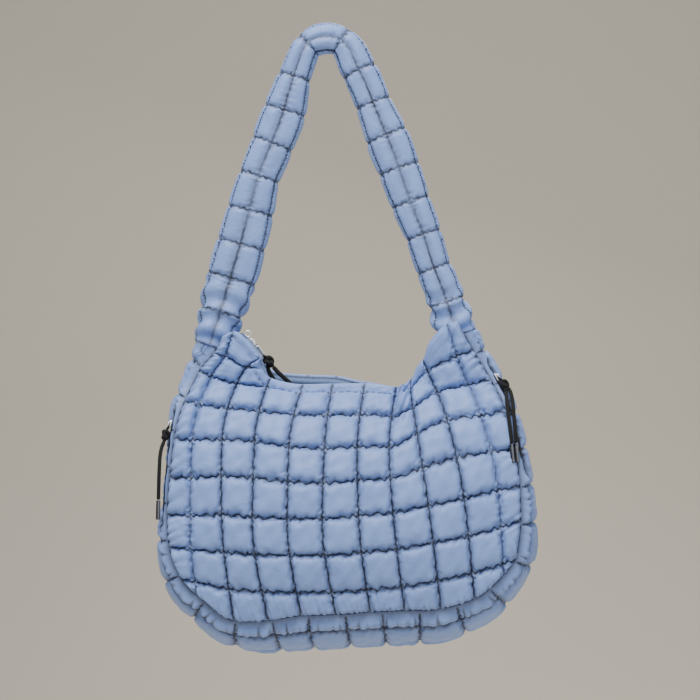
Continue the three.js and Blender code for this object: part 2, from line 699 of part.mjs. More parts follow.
function pocketZipGeometry({ side, first, last }) {
  const stations = cellStations(Math.floor(first), Math.ceil(last), 3).filter(
    (cell) => cell > first - 0.01 && cell < last + 0.01,
  );
  const rings = stations.map((cell) => {
    const { edge, across, normal } = pocketFace(cellFromEnd(side, cell));
    const at = (share, lift) => edge.clone().addScaledVector(across, share).addScaledVector(normal, lift);
    const top = hardwareGap + pocketZipThickness;
    return [at(0.12, hardwareGap), at(0.72, hardwareGap), at(0.72, top), at(0.12, top)];
  });
  return loftGeometry(rings);
}

function addPiece(group, name, geometry, finish) {
  const mesh = new THREE.Mesh(geometry, new THREE.MeshStandardMaterial(finish));
  mesh.name = name;
  group.add(mesh);
  return mesh;
}

// Stands a piece at a place, with its own x, y and z along the given directions.
function stand(mesh, place, x, y) {
  const z = x.clone().cross(y).normalize();
  mesh.position.copy(place);
  mesh.quaternion.setFromRotationMatrix(new THREE.Matrix4().makeBasis(x, z.clone().cross(x), z));
}

// The mouth zip's slider at the left end of the front tape, with its ring, puller, knot and cords.
function addMouthPull(bag) {
  const { origin, down, along, inwards } = rimFrame(1.5, -1, frontRim);
  const up = along.clone().cross(inwards).normalize();
  if (up.dot(down) > 0) up.negate();
  const inset = tapeInset + tapeThickness + toothRadius + hardwareGap + slider.width / 2;
  const at = (ahead, lift, deeper = 0) =>
    origin.clone().addScaledVector(inwards, inset + deeper).addScaledVector(along, ahead).addScaledVector(up, lift);
  stand(addPiece(bag, 'zip_slider', sliderGeometry(slider), metalFinish), at(0, 0), along, up);
  const ring = new THREE.TorusGeometry((ringDiameter - ringWire) / 2, ringWire / 2, 6, 14);
  const beforeSlider = -(slider.length + ringDiameter) / 2 - hardwareGap;
  stand(addPiece(bag, 'zip_ring', ring, metalFinish), at(beforeSlider, ringDiameter / 2), along, up);
  const pullerAt = (slider.length + pullerLength) / 2 + hardwareGap;
  const puller = addPiece(bag, 'zip_puller', pullerGeometry(), metalFinish);
  stand(puller, at(pullerAt, 2.5), along, inwards);
  const knotAt = pullerAt + (pullerLength + knotLength) / 2;
  const knot = addPiece(bag, 'zip_pull_knot', knotGeometry(knotLength, knotDiameter), cordFinish);
  stand(knot, at(knotAt, 3, 2), inwards, along);
  addPiece(bag, 'zip_pull_tail_long', cordGeometry(mouthCordLong, pullCordDiameter, 9), cordFinish);
  addPiece(bag, 'zip_pull_tail_short', cordGeometry(mouthCordShort, pullCordDiameter, 6), cordFinish);
}

// A cord tail of a side pocket's pull, with the tip on its end.
function addPocketCord(bag, zip, points, letter) {
  addPiece(bag, `${zip.side}_pocket_cord${letter}`, cordGeometry(points, cordDiameter, points.length), cordFinish);
  const [before, end] = points.slice(-2).map(([x, y, z]) => new THREE.Vector3(x, y, z));
  const heading = end.clone().sub(before).normalize();
  const place = end.clone().addScaledVector(heading, hardwareGap + agletLength / 2);
  const aglet = new THREE.CylinderGeometry(agletDiameter / 2, agletDiameter / 2, agletLength, 8);
  const mesh = addPiece(bag, `${zip.side}_pocket_aglet${letter}`, aglet, agletFinish);
  stand(mesh, place, new THREE.Vector3(1, 0, 0).cross(heading).normalize(), heading);
}

function addPocketZip(bag, zip) {
  addPiece(bag, `${zip.side}_pocket_zip`, pocketZipGeometry(zip), zipFinish);
  const cell = cellFromEnd(zip.side, zip.first + 0.12);
  const { edge, across, heading, normal } = pocketFace(cell);
  const lift = 2 * hardwareGap + pocketZipThickness;
  const place = edge.clone().addScaledVector(across, 0.42).addScaledVector(normal, lift);
  const mesh = addPiece(bag, `${zip.side}_pocket_slider`, sliderGeometry(pocketSlider), metalFinish);
  stand(mesh, place, heading, normal);
  const knotCells = ((pocketSlider.length + pocketKnotLength) / 2 + hardwareGap) / quiltPitch;
  const face = pocketFace(cellFromEnd(zip.side, zip.first + 0.12 + knotCells));
  const knotPlace = face.edge.clone().addScaledVector(face.across, 0.3);
  knotPlace.addScaledVector(face.normal, lift + pocketKnotDiameter / 2);
  const knot = addPiece(bag, `${zip.side}_pocket_knot`, knotGeometry(pocketKnotLength, pocketKnotDiameter), cordFinish);
  stand(knot, knotPlace, face.normal, face.heading);
  zip.cords.forEach((points, k) => addPocketCord(bag, zip, points, zip.cords.length > 1 ? `_${'ab'[k]}` : ''));
}

function toteBag() {
  const bag = new THREE.Group();
  addPiece(bag, 'front_panel', panelGeometry(-1, frontRim), nylonFinish);
  addPiece(bag, 'back_panel', panelGeometry(1, backRim), nylonFinish);
  addPiece(bag, 'gusset', gussetGeometry(), nylonFinish);
  addPiece(bag, 'strap', strapGeometry(), nylonFinish);
  addPiece(bag, 'front_zip_tape', zipTapeGeometry(-1, frontRim), tapeFinish);
  addPiece(bag, 'back_zip_tape', zipTapeGeometry(1, backRim), tapeFinish);
  addMouthPull(bag);
  pocketZips.forEach((zip) => addPocketZip(bag, zip));
  return bag;
}

export default toteBag();
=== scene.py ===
"""A quilted puffer tote bag that hangs by its one wide strap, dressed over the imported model.

Everything is in metres, +Z up, with the bag's front towards -Y and the origin under the crest of the strap.
The padded walls follow the same seam tables as the solids, and carry a quilted cloth whose swelling and
gathers come from one cloth simulation.
"""

from __future__ import annotations

import logging
import math
from dataclasses import dataclass, field
from enum import Enum
from typing import Callable, Sequence

import bpy
import numpy as np
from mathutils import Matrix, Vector


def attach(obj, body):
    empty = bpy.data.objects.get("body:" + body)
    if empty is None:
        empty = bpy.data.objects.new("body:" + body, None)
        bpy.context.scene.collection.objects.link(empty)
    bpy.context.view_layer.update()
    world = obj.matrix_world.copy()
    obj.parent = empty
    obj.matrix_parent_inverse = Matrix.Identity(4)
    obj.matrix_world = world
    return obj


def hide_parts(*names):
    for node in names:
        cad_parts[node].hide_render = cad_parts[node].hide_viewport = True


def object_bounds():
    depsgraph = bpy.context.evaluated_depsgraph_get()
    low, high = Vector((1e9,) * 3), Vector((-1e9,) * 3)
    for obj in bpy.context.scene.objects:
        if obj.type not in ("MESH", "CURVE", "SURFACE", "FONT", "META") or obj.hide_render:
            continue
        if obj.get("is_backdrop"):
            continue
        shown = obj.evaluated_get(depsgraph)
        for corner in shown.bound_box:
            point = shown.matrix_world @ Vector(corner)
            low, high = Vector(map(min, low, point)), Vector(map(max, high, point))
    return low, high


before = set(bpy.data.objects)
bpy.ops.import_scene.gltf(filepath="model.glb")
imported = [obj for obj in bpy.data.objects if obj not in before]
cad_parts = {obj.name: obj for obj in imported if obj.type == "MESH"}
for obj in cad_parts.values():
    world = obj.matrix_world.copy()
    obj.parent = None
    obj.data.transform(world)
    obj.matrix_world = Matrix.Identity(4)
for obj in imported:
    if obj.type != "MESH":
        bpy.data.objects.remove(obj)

log = logging.getLogger("tote")

MM = 0.001
ALONG_Y = np.array([0.0, 1.0, 0.0])
Surface = Callable[[np.ndarray, np.ndarray], np.ndarray]


# Curves and grids


def monotone(
    knots: Sequence[float], values: np.ndarray, at: np.ndarray, carry_on: bool = False
) -> np.ndarray:
    """A monotone cubic through a table: each tangent is the harmonic mean of the slopes beside it.

    Args:
        knots: Where the table has its rows, rising.
        values: The table's values, one for each knot, or an array of one row for each knot.
        at: Where the curve is read.
        carry_on: Whether it runs on straight past its ends; otherwise it stays flat there.

    Returns:
        The curve's value at each place.
    """
    xs = np.asarray(knots, float)
    place = np.asarray(at, float).ravel()
    ys = np.asarray(values, float)
    ys = np.broadcast_to(ys[:, None], (len(xs), place.size)) if ys.ndim == 1 else ys
    slope = np.diff(ys, axis=0) / np.diff(xs)[:, None]
    total = slope[:-1] + slope[1:]
    product = slope[:-1] * slope[1:]
    inner = np.where(product > 0, 2 * product / np.where(total == 0, 1, total), 0)
    tangent = np.vstack([slope[:1], inner, slope[-1:]])
    k = np.clip(np.searchsorted(xs, place, side="left") - 1, 0, len(xs) - 2)
    n = np.arange(place.size)
    span = xs[k + 1] - xs[k]
    u = np.clip((place - xs[k]) / span, 0, 1)
    low, high = ys[k, n], ys[k + 1, n]
    value = low + (high - low) * u * u * (3 - 2 * u)
    value += tangent[k, n] * span * u * (1 - u) ** 2 - tangent[k + 1, n] * span * u * u * (1 - u)
    if carry_on:
        value += np.minimum(place - xs[0], 0) * slope[0] + np.maximum(place - xs[-1], 0) * slope[-1]
    return value.reshape(np.shape(at))


@dataclass(frozen=True)
class Column:
    """A smooth curve through one column of a short table."""

    knots: tuple[float, ...]
    values: tuple[float, ...]

    def __call__(self, at: np.ndarray) -> np.ndarray:
        """The column's value at each place."""
        return monotone(self.knots, np.array(self.values), at)


def smoothstep(x: np.ndarray, low: float, high: float) -> np.ndarray:
    """0 below low, 1 above high, and a smooth ramp between them."""
    u = np.clip((x - low) / (high - low), 0, 1)
    return u * u * (3 - 2 * u)


def bell(x: np.ndarray, width: float | np.ndarray) -> np.ndarray:
    """1 at 0, falling off to both sides as a bell of the given width."""
    return np.exp(-((x / width) ** 2))


def off_seam(cells: np.ndarray) -> np.ndarray:
    """How many cells a place lies from the nearest seam."""
    return np.abs(cells - np.round(cells))


def unit(vectors: np.ndarray) -> np.ndarray:
    """Each vector at length 1."""
    return vectors / np.maximum(np.linalg.norm(vectors, axis=-1, keepdims=True), 1e-12)


def turned_to(vectors: np.ndarray, side: np.ndarray) -> np.ndarray:
    """The vectors, turned round where they point away from a side."""
    return np.where(np.sum(vectors * side, axis=-1, keepdims=True) < 0, -vectors, vectors)


def cell_stations(first: float, last: float, per_cell: int, crowd: float = 0.07) -> np.ndarray:
    """Stations across quilted cells: evenly numbered, and crowded towards each seam by a sine."""
    even = np.linspace(first, last, round((last - first) * per_cell) + 1)
    return even - crowd * np.sin(2 * np.pi * even)


def drift(points: np.ndarray, size: float) -> np.ndarray:
    """A slow swell in space from -1 to 1, a sum of three sines along slanted lines."""
    x, y, z = (points[..., k] * 2 * np.pi / size for k in range(3))
    first = np.sin(x + 0.7 * z + 1.3)
    second = np.sin(0.8 * z - 0.5 * x + 2 * y)
    third = np.sin(1.37 * x + 1.1 * y - 0.9 * z + 4)
    return (first + second + third) / 3


@dataclass
class Shell:
    """Vertices and faces of a mesh in the making, with a map of the cloth and a mask of its seams with the
    shade painted beside them; on the cord tips the mask is a painted highlight.
    """

    vertices: np.ndarray
    quads: np.ndarray
    triangles: np.ndarray
    cloth: np.ndarray | None = None
    seam: np.ndarray | None = None

    def joined(self, other: "Shell") -> "Shell":
        """This shell and another as one, with a map and a mask where both have them.

        Args:
            other: The shell that follows this one.

        Returns:
            The whole.
        """
        shift = len(self.vertices)

        def both(first: np.ndarray | None, second: np.ndarray | None) -> np.ndarray | None:
            """Two arrays as one, unless one is missing."""
            return None if first is None or second is None else np.concatenate([first, second])

        return Shell(
            np.concatenate([self.vertices, other.vertices]),
            np.concatenate([self.quads, other.quads + shift]),
            np.concatenate([self.triangles, other.triangles + shift]),
            both(self.cloth, other.cloth),
            both(self.seam, other.seam),
        )

    def turned(self) -> "Shell":
        """This shell with its faces the other way round."""
        return Shell(self.vertices, self.quads[:, ::-1], self.triangles[:, ::-1], self.cloth, self.seam)


PLACES_A_CELL = 5e3


def woven(places: np.ndarray) -> tuple[np.ndarray, np.ndarray, np.ndarray]:
    """Faces of a grid in which places that fall together are one vertex.

    Args:
        places: Two numbers for each place of the grid, as (columns, rows, 2).

    Returns:
        The first grid place of each vertex, the faces of four corners and those of three.
    """
    columns, rows = places.shape[:2]
    keys = np.round(places.reshape(-1, 2) * PLACES_A_CELL).astype(np.int64)
    _, first, number = np.unique(keys, axis=0, return_index=True, return_inverse=True)
    number = number.reshape(columns, rows)
    corners = [number[:-1, :-1], number[1:, :-1], number[1:, 1:], number[:-1, 1:]]
    quad = np.stack([c.ravel() for c in corners], 1)
    same = quad == np.roll(quad, -1, axis=1)
    across = (quad[:, 0] == quad[:, 2]) | (quad[:, 1] == quad[:, 3])
    whole = quad[(~same.any(1)) & ~across]
    one = (same.sum(1) == 1) & ~across
    part, at = quad[one], np.argmax(same[one], axis=1)
    n = np.arange(len(part))
    three = np.stack([part[n, (at + k) % 4] for k in (1, 2, 3)], 1)
    return first, whole, three


def open_edges(shell: Shell) -> np.ndarray:
    """The edges that only one face uses, in that face's direction, as (count, 2)."""
    loops = [np.stack([f, np.roll(f, -1, axis=1)], -1).reshape(-1, 2) for f in (shell.quads, shell.triangles)]
    edges = np.concatenate(loops).astype(np.int64)
    size = len(shell.vertices)
    there, back = edges[:, 0] * size + edges[:, 1], edges[:, 1] * size + edges[:, 0]
    return edges[~np.isin(there, back)]


def padded_wall(outer: Shell, inner_vertices: np.ndarray) -> Shell:
    """A closed wall: the outer sheet, the same sheet turned round inside it, and a rim between them."""
    count = len(outer.vertices)
    inner = Shell(inner_vertices, outer.quads, outer.triangles, outer.cloth, outer.seam).turned()
    wall = outer.joined(inner)
    edge = open_edges(outer)
    rim = np.stack([edge[:, 1], edge[:, 0], edge[:, 0] + count, edge[:, 1] + count], 1)
    wall.quads = np.concatenate([wall.quads, rim])
    return wall


def facing_out(shell: Shell) -> Shell:
    """A closed shell with its faces outwards, told by the sign of its volume."""
    v = shell.vertices
    a, b, c, d = (v[shell.quads[:, k]] for k in range(4))
    volume = np.sum(a * np.cross(b, c)) + np.sum(a * np.cross(c, d))
    e, f, g = (v[shell.triangles[:, k]] for k in range(3))
    volume += np.sum(e * np.cross(f, g))
    return shell if volume > 0 else shell.turned()


def circles(across: np.ndarray, up: np.ndarray, around: int) -> np.ndarray:
    """Unit circles in the planes of across and up, as (n, around, 3)."""
    angle = np.arange(around) * 2 * np.pi / around
    return np.cos(angle)[:, None] * across[:, None] + np.sin(angle)[:, None] * up[:, None]


def capped(rings: np.ndarray, centres: np.ndarray) -> Shell:
    """A tube from rings of points, closed by a fan at both ends."""
    count, around = rings.shape[:2]
    number = np.arange(count * around).reshape(count, around)
    beside = np.roll(number, -1, axis=1)
    quads = np.stack([number[:-1], beside[:-1], beside[1:], number[1:]], -1).reshape(-1, 4)
    ends = count * around + np.arange(2)
    first = np.stack([np.full(around, ends[0]), beside[0], number[0]], 1)
    last = np.stack([np.full(around, ends[1]), number[-1], beside[-1]], 1)
    return Shell(np.concatenate([rings.reshape(-1, 3), centres]), quads, np.concatenate([first, last]))


def looped(rings: np.ndarray) -> Shell:
    """A tube that runs into itself, from rings of points, (n, around, 3)."""
    number = np.arange(rings.shape[0] * rings.shape[1]).reshape(rings.shape[:2])
    ahead, beside = np.roll(number, -1, axis=0), np.roll(number, -1, axis=1)
    quads = np.stack([number, beside, np.roll(ahead, -1, axis=1), ahead], -1).reshape(-1, 4)
    return facing_out(Shell(rings.reshape(-1, 3), quads, np.zeros((0, 3), int)))


def swept(path: np.ndarray, across: np.ndarray, up: np.ndarray, radii: np.ndarray, around: int) -> Shell:
    """A tube along a path, closed by a fan at both ends."""
    radius = np.broadcast_to(radii[:, None] if radii.ndim == 1 else radii, (len(path), around))
    return capped(path[:, None] + radius[..., None] * circles(across, up, around), path[[0, -1]])


def tube(path: np.ndarray, radii: np.ndarray, around: int, beside: np.ndarray) -> Shell:
    """A tube whose across direction is square to the path and to the vectors given beside it."""
    heading = unit(np.gradient(path, axis=0))
    across = unit(np.cross(heading, np.broadcast_to(beside, path.shape)))
    return swept(path, across, np.cross(heading, across), radii, around)


def strung(shells: Sequence[Shell]) -> Shell:
    """Several shells as one."""
    whole = shells[0]
    for shell in shells[1:]:
        whole = whole.joined(shell)
    return whole


def catmull(points: np.ndarray, steps: int) -> np.ndarray:
    """A centripetal Catmull-Rom curve through points, at even steps of its own parameter."""
    ends = [2 * points[0] - points[1], 2 * points[-1] - points[-2]]
    control = np.concatenate([ends[:1], points, ends[1:]])
    at = np.linspace(0, len(points) - 1, steps)
    k = np.minimum(at.astype(int), len(points) - 2)
    w = (at - k)[:, None]
    p = [control[k + j] for j in range(4)]
    gap = [np.maximum(np.linalg.norm(p[j + 1] - p[j], axis=1, keepdims=True) ** 0.5, 1e-6) for j in range(3)]
    first = ((p[1] - p[0]) / gap[0] - (p[2] - p[0]) / (gap[0] + gap[1]) + (p[2] - p[1]) / gap[1]) * gap[1]
    second = ((p[2] - p[1]) / gap[1] - (p[3] - p[1]) / (gap[1] + gap[2]) + (p[3] - p[2]) / gap[2]) * gap[1]
    cubic = 2 * p[1] - 2 * p[2] + first + second
    square = -3 * p[1] + 3 * p[2] - 2 * first - second
    return p[1] + first * w + square * w**2 + cubic * w**3


def distances(points: np.ndarray) -> np.ndarray:
    """How far along a polyline each of its points lies."""
    return np.concatenate([[0], np.cumsum(np.linalg.norm(np.diff(points, axis=0), axis=1))])


def even_path(points: np.ndarray, steps: int) -> np.ndarray:
    """The same polyline at even distances along it."""
    run = distances(points)
    at = np.linspace(0, run[-1], steps)
    return np.stack([np.interp(at, run, points[:, k]) for k in range(3)], 1)


def path_length(points: np.ndarray) -> float:
    """How long a polyline is."""
    return float(np.linalg.norm(np.diff(points, axis=0), axis=1).sum())


# Finishes


def shader_group(name: str, inputs: dict[str, float], outputs: dict[str, str]) -> bpy.types.ShaderNodeTree:
    """An empty node group with a value socket for each input and the named outputs."""
    group = bpy.data.node_groups.new(name, "ShaderNodeTree")
    for label, value in inputs.items():
        socket = group.interface.new_socket(label, in_out="INPUT", socket_type="NodeSocketFloat")
        socket.default_value = value
    for label, kind in outputs.items():
        group.interface.new_socket(label, in_out="OUTPUT", socket_type=kind)
    return group


@dataclass
class Nodes:
    """A hand for wiring one node tree."""

    tree: bpy.types.NodeTree

    def add(self, kind: str, **settings: object) -> bpy.types.Node:
        """A new node with its settings; a setting that names an input socket sets that socket."""
        node = self.tree.nodes.new(kind)
        for name, value in settings.items():
            if hasattr(node, name):
                setattr(node, name, value)
            else:
                node.inputs[name.replace("_", " ")].default_value = value
        return node

    def join(self, source: bpy.types.NodeSocket, target: bpy.types.NodeSocket) -> None:
        """Wires one socket to another."""
        self.tree.links.new(source, target)

    def math(self, operation: str, *values: object) -> bpy.types.NodeSocket:
        """A Math node's output, from sockets and numbers."""
        node = self.add("ShaderNodeMath", operation=operation)
        for slot, value in zip(node.inputs, values):
            if isinstance(value, (int, float)):
                slot.default_value = value
            else:
                self.join(value, slot)
        return node.outputs[0]

    def mix(self, share: object, first: object, second: object) -> bpy.types.NodeSocket:
        """A colour between two, by a share."""
        node = self.add("ShaderNodeMix", data_type="RGBA")
        for slot, value in ((0, share), (6, first), (7, second)):
            if isinstance(value, (int, float, tuple)):
                node.inputs[slot].default_value = value
            else:
                self.join(value, node.inputs[slot])
        return node.outputs[2]


def crinkle_group() -> bpy.types.ShaderNodeTree:
    """Thin cloth's own unevenness: soft creases and a fine grain, as a tone and a height from 0 to 1.

    Returns:
        The group, with the inputs Crease Scale, Grain Scale and Grain Share.
    """
    group = shader_group(
        "Cloth crinkle",
        {"Crease Scale": 70.0, "Grain Scale": 900.0, "Grain Share": 0.25},
        {"Tone": "NodeSocketFloat", "Height": "NodeSocketFloat"},
    )
    n = Nodes(group)
    given = n.add("NodeGroupInput")
    place = n.add("ShaderNodeTexCoord").outputs["Object"]
    crease = n.add("ShaderNodeTexNoise", Detail=3.0, Roughness=0.55, Distortion=0.9)
    grain = n.add("ShaderNodeTexNoise", Detail=2.0, Roughness=0.6)
    for texture, label in ((crease, "Crease Scale"), (grain, "Grain Scale")):
        n.join(place, texture.inputs["Vector"])
        n.join(given.outputs[label], texture.inputs["Scale"])
    ridge = n.math("ABSOLUTE", n.math("SUBTRACT", crease.outputs["Fac"], 0.5))
    ridge = n.math("MULTIPLY", ridge, 3.0)
    fine = n.math("MULTIPLY", grain.outputs["Fac"], given.outputs["Grain Share"])
    out = n.add("NodeGroupOutput")
    n.join(crease.outputs["Fac"], out.inputs["Tone"])
    n.join(n.math("ADD", ridge, fine), out.inputs["Height"])
    return group


def braid_group() -> bpy.types.ShaderNodeTree:
    """Two slanting rows of plaited strands over a cord's own map, as a height from 0 to 1 and a tone that
    equals it, which paints shade into the grooves between strands.

    Returns:
        The group, with the inputs Along and Around: strands in a metre and round the cord.
    """
    group = shader_group(
        "Braid", {"Along": 380.0, "Around": 8.0}, {"Tone": "NodeSocketFloat", "Height": "NodeSocketFloat"}
    )
    n = Nodes(group)
    given = n.add("NodeGroupInput")
    split = n.add("ShaderNodeSeparateXYZ")
    n.join(n.add("ShaderNodeUVMap", uv_map="cloth").outputs[0], split.inputs[0])
    lengthwise = n.math("MULTIPLY", split.outputs[0], given.outputs["Along"])
    sideways = n.math("MULTIPLY", split.outputs[1], given.outputs["Around"])
    left = n.math("SINE", n.math("MULTIPLY", n.math("ADD", lengthwise, sideways), math.tau))
    right = n.math("SINE", n.math("MULTIPLY", n.math("SUBTRACT", lengthwise, sideways), math.tau))
    height = n.math("MULTIPLY", n.math("ADD", n.math("MAXIMUM", left, right), 1.0), 0.5)
    out = n.add("NodeGroupOutput")
    n.join(height, out.inputs["Tone"])
    n.join(height, out.inputs["Height"])
    return group


class Effects:
    """The node groups that several finishes share, each built once."""

    made: dict[str, bpy.types.ShaderNodeTree] = {}

    @classmethod
    def node(cls, n: Nodes, build: Callable[[], bpy.types.ShaderNodeTree], **values: float) -> bpy.types.Node:
        """A node of the group that build makes, with its own values."""
        if build.__name__ not in cls.made:
            cls.made[build.__name__] = build()
        node = n.add("ShaderNodeGroup")
        node.node_tree = cls.made[build.__name__]
        for name, value in values.items():
            node.inputs[name.replace("_", " ")].default_value = value
        return node


Colour = tuple[float, float, float, float]


def from_srgb(red: int, green: int, blue: int) -> Colour:
    """A linear colour from the numbers of a screen's."""
    shares = np.array([red, green, blue]) / 255
    linear = np.where(shares <= 0.04045, shares / 12.92, ((shares + 0.055) / 1.055) ** 2.4)
    return (*linear.tolist(), 1.0)


def principled(name: str) -> tuple[bpy.types.Material, Nodes, bpy.types.Node]:
    """A material with its Principled BSDF, and a hand for its nodes."""
    material = bpy.data.materials.new(name)
    material.use_nodes = True
    return material, Nodes(material.node_tree), material.node_tree.nodes["Principled BSDF"]


def add_bump(
    n: Nodes, bsdf: bpy.types.Node, height: bpy.types.NodeSocket, strength: float, depth: float
) -> None:
    """Raises the surface's shading by a height, depth metres from 0 to 1."""
    bump = n.add("ShaderNodeBump")
    bump.inputs["Strength"].default_value = strength
    bump.inputs["Distance"].default_value = depth
    n.join(height, bump.inputs["Height"])
    n.join(bump.outputs["Normal"], bsdf.inputs["Normal"])


@dataclass(frozen=True)
class NylonFinish:
    """Thin, closely woven, softly shining nylon, with dark seam thread and painted shade in and beside the
    seams' grooves.
    """

    name: str = "Periwinkle nylon"
    light: Colour = from_srgb(140, 170, 232)
    shade: Colour = from_srgb(122, 152, 218)
    # Painted shade: a greyer, darker blue laid broadly beside each seam, where the cloth dips into it.
    valley_shade: Colour = from_srgb(122, 141, 186)
    # The seam line itself: dark thread, and painted shade deep in its groove.
    thread_and_groove_shade: Colour = from_srgb(11, 15, 34)
    roughness: float = 0.5

    def material(self) -> bpy.types.Material:
        """The finish as a material, whose dark seams and the shade painted beside them follow the attribute
        "seam".

        Returns:
            The material.
        """
        material, n, bsdf = principled(self.name)
        cloth = Effects.node(n, crinkle_group, Crease_Scale=38.0, Grain_Scale=1500.0, Grain_Share=0.12)
        seam = n.add("ShaderNodeAttribute", attribute_name="seam")
        fill = n.mix(cloth.outputs["Tone"], self.shade, self.light)
        # Painted shade: four times the mask lays the valley shade colour broadly beside the seams, then the
        # seam line's own dark colour goes on top.
        beside = n.math("MINIMUM", n.math("MULTIPLY", seam.outputs["Fac"], 4.0), 1.0)
        with_valley_shade = n.mix(beside, fill, self.valley_shade)
        n.join(n.mix(seam.outputs["Fac"], with_valley_shade, self.thread_and_groove_shade), bsdf.inputs["Base Color"])
        rough = n.math("ADD", n.math("MULTIPLY", cloth.outputs["Tone"], 0.12), self.roughness - 0.06)
        n.join(rough, bsdf.inputs["Roughness"])
        bsdf.inputs["Sheen Weight"].default_value = 0.12
        bsdf.inputs["Sheen Roughness"].default_value = 0.4
        bsdf.inputs["Specular IOR Level"].default_value = 0.45
        add_bump(n, bsdf, cloth.outputs["Height"], 0.5, 0.9 * MM)
        return material


@dataclass(frozen=True)
class WebbingFinish:
    """Matt woven tape and sewing thread in one colour."""

    name: str
    colour: Colour
    dark: Colour
    roughness: float = 0.8
    grain: float = 2200.0

    def material(self) -> bpy.types.Material:
        """The finish as a material."""
        material, n, bsdf = principled(self.name)
        cloth = Effects.node(n, crinkle_group, Crease_Scale=300.0, Grain_Scale=self.grain, Grain_Share=0.8)
        n.join(n.mix(cloth.outputs["Tone"], self.dark, self.colour), bsdf.inputs["Base Color"])
        bsdf.inputs["Roughness"].default_value = self.roughness
        add_bump(n, bsdf, cloth.outputs["Height"], 0.5, 0.25 * MM)
        return material


@dataclass(frozen=True)
class CordFinish:
    """Black plaited cord, with painted shade in the grooves between its strands."""

    name: str = "Black cord"
    colour: Colour = from_srgb(20, 20, 22)
    # The darker colour is painted shade in the grooves between the strands.
    dark: Colour = from_srgb(6, 6, 7)

    def material(self) -> bpy.types.Material:
        """The finish as a material, plaited along the piece's own map, darker by painted shade where the
        braid is low.
        """
        material, n, bsdf = principled(self.name)
        braid = Effects.node(n, braid_group, Along=330.0, Around=7.0)
        # Painted shade: the braid's tone is its height, so the grooves take the darker colour.
        n.join(n.mix(braid.outputs["Tone"], self.dark, self.colour), bsdf.inputs["Base Color"])
        bsdf.inputs["Roughness"].default_value = 0.7
        bsdf.inputs["Sheen Weight"].default_value = 0.05
        bsdf.inputs["Specular IOR Level"].default_value = 0.35
        add_bump(n, bsdf, braid.outputs["Height"], 0.8, 0.35 * MM)
        return material


@dataclass(frozen=True)
class MetalFinish:
    """Polished silver metal with faint rubbing marks."""

    name: str
    colour: Colour
    roughness: float
    metallic: float = 1.0

    def material(self) -> bpy.types.Material:
        """The finish as a material."""
        material, n, bsdf = principled(self.name)
        marks = Effects.node(n, crinkle_group, Crease_Scale=160.0, Grain_Scale=3000.0, Grain_Share=0.5)
        bsdf.inputs["Base Color"].default_value = self.colour
        bsdf.inputs["Metallic"].default_value = self.metallic
        rough = n.math("ADD", n.math("MULTIPLY", marks.outputs["Tone"], 0.16), self.roughness - 0.05)
        n.join(rough, bsdf.inputs["Roughness"])
        add_bump(n, bsdf, marks.outputs["Height"], 0.15, 0.05 * MM)
        return material


@dataclass(frozen=True)
class TipFinish:
    """The cord tips: dark shrunk plastic, with a pale painted highlight along one side."""

    name: str = "Cord tip"
    colour: Colour = from_srgb(30, 32, 37)
    # A pale painted highlight along one side of the tip.
    painted_highlight: Colour = from_srgb(112, 116, 124)

    def material(self) -> bpy.types.Material:
        """The finish as a material, its painted highlight following the attribute "seam"."""
        material, n, bsdf = principled(self.name)
        marks = Effects.node(n, crinkle_group, Crease_Scale=200.0, Grain_Scale=2500.0, Grain_Share=0.4)
        line = n.add("ShaderNodeAttribute", attribute_name="seam")
        n.join(n.mix(line.outputs["Fac"], self.colour, self.painted_highlight), bsdf.inputs["Base Color"])
        bsdf.inputs["Roughness"].default_value = 0.38
        bsdf.inputs["Metallic"].default_value = 0.1
        add_bump(n, bsdf, marks.outputs["Height"], 0.2, 0.08 * MM)
        return material


class Finish(Enum):
    """The bag's finishes."""

    NYLON = NylonFinish()
    ZIP_TAPE = WebbingFinish("Zip tape", from_srgb(132, 156, 200), from_srgb(104, 128, 172))
    TEETH = WebbingFinish("Zip teeth", from_srgb(150, 160, 178), from_srgb(96, 108, 130), 0.45)
    THREAD = WebbingFinish("Sewing thread", from_srgb(52, 62, 88), from_srgb(28, 34, 52), 0.7, 4000.0)
    CORD = CordFinish()
    TIP = TipFinish()
    SILVER = MetalFinish("Silver metal", from_srgb(250, 251, 253), 0.26, 0.65)
    BLACK_ZIP = WebbingFinish("Black zip", from_srgb(30, 32, 40), from_srgb(14, 15, 20), 0.55)

    def material(self) -> bpy.types.Material:
        """The finish's one material."""
        found = bpy.data.materials.get(self.value.name)
        return found or self.value.material()


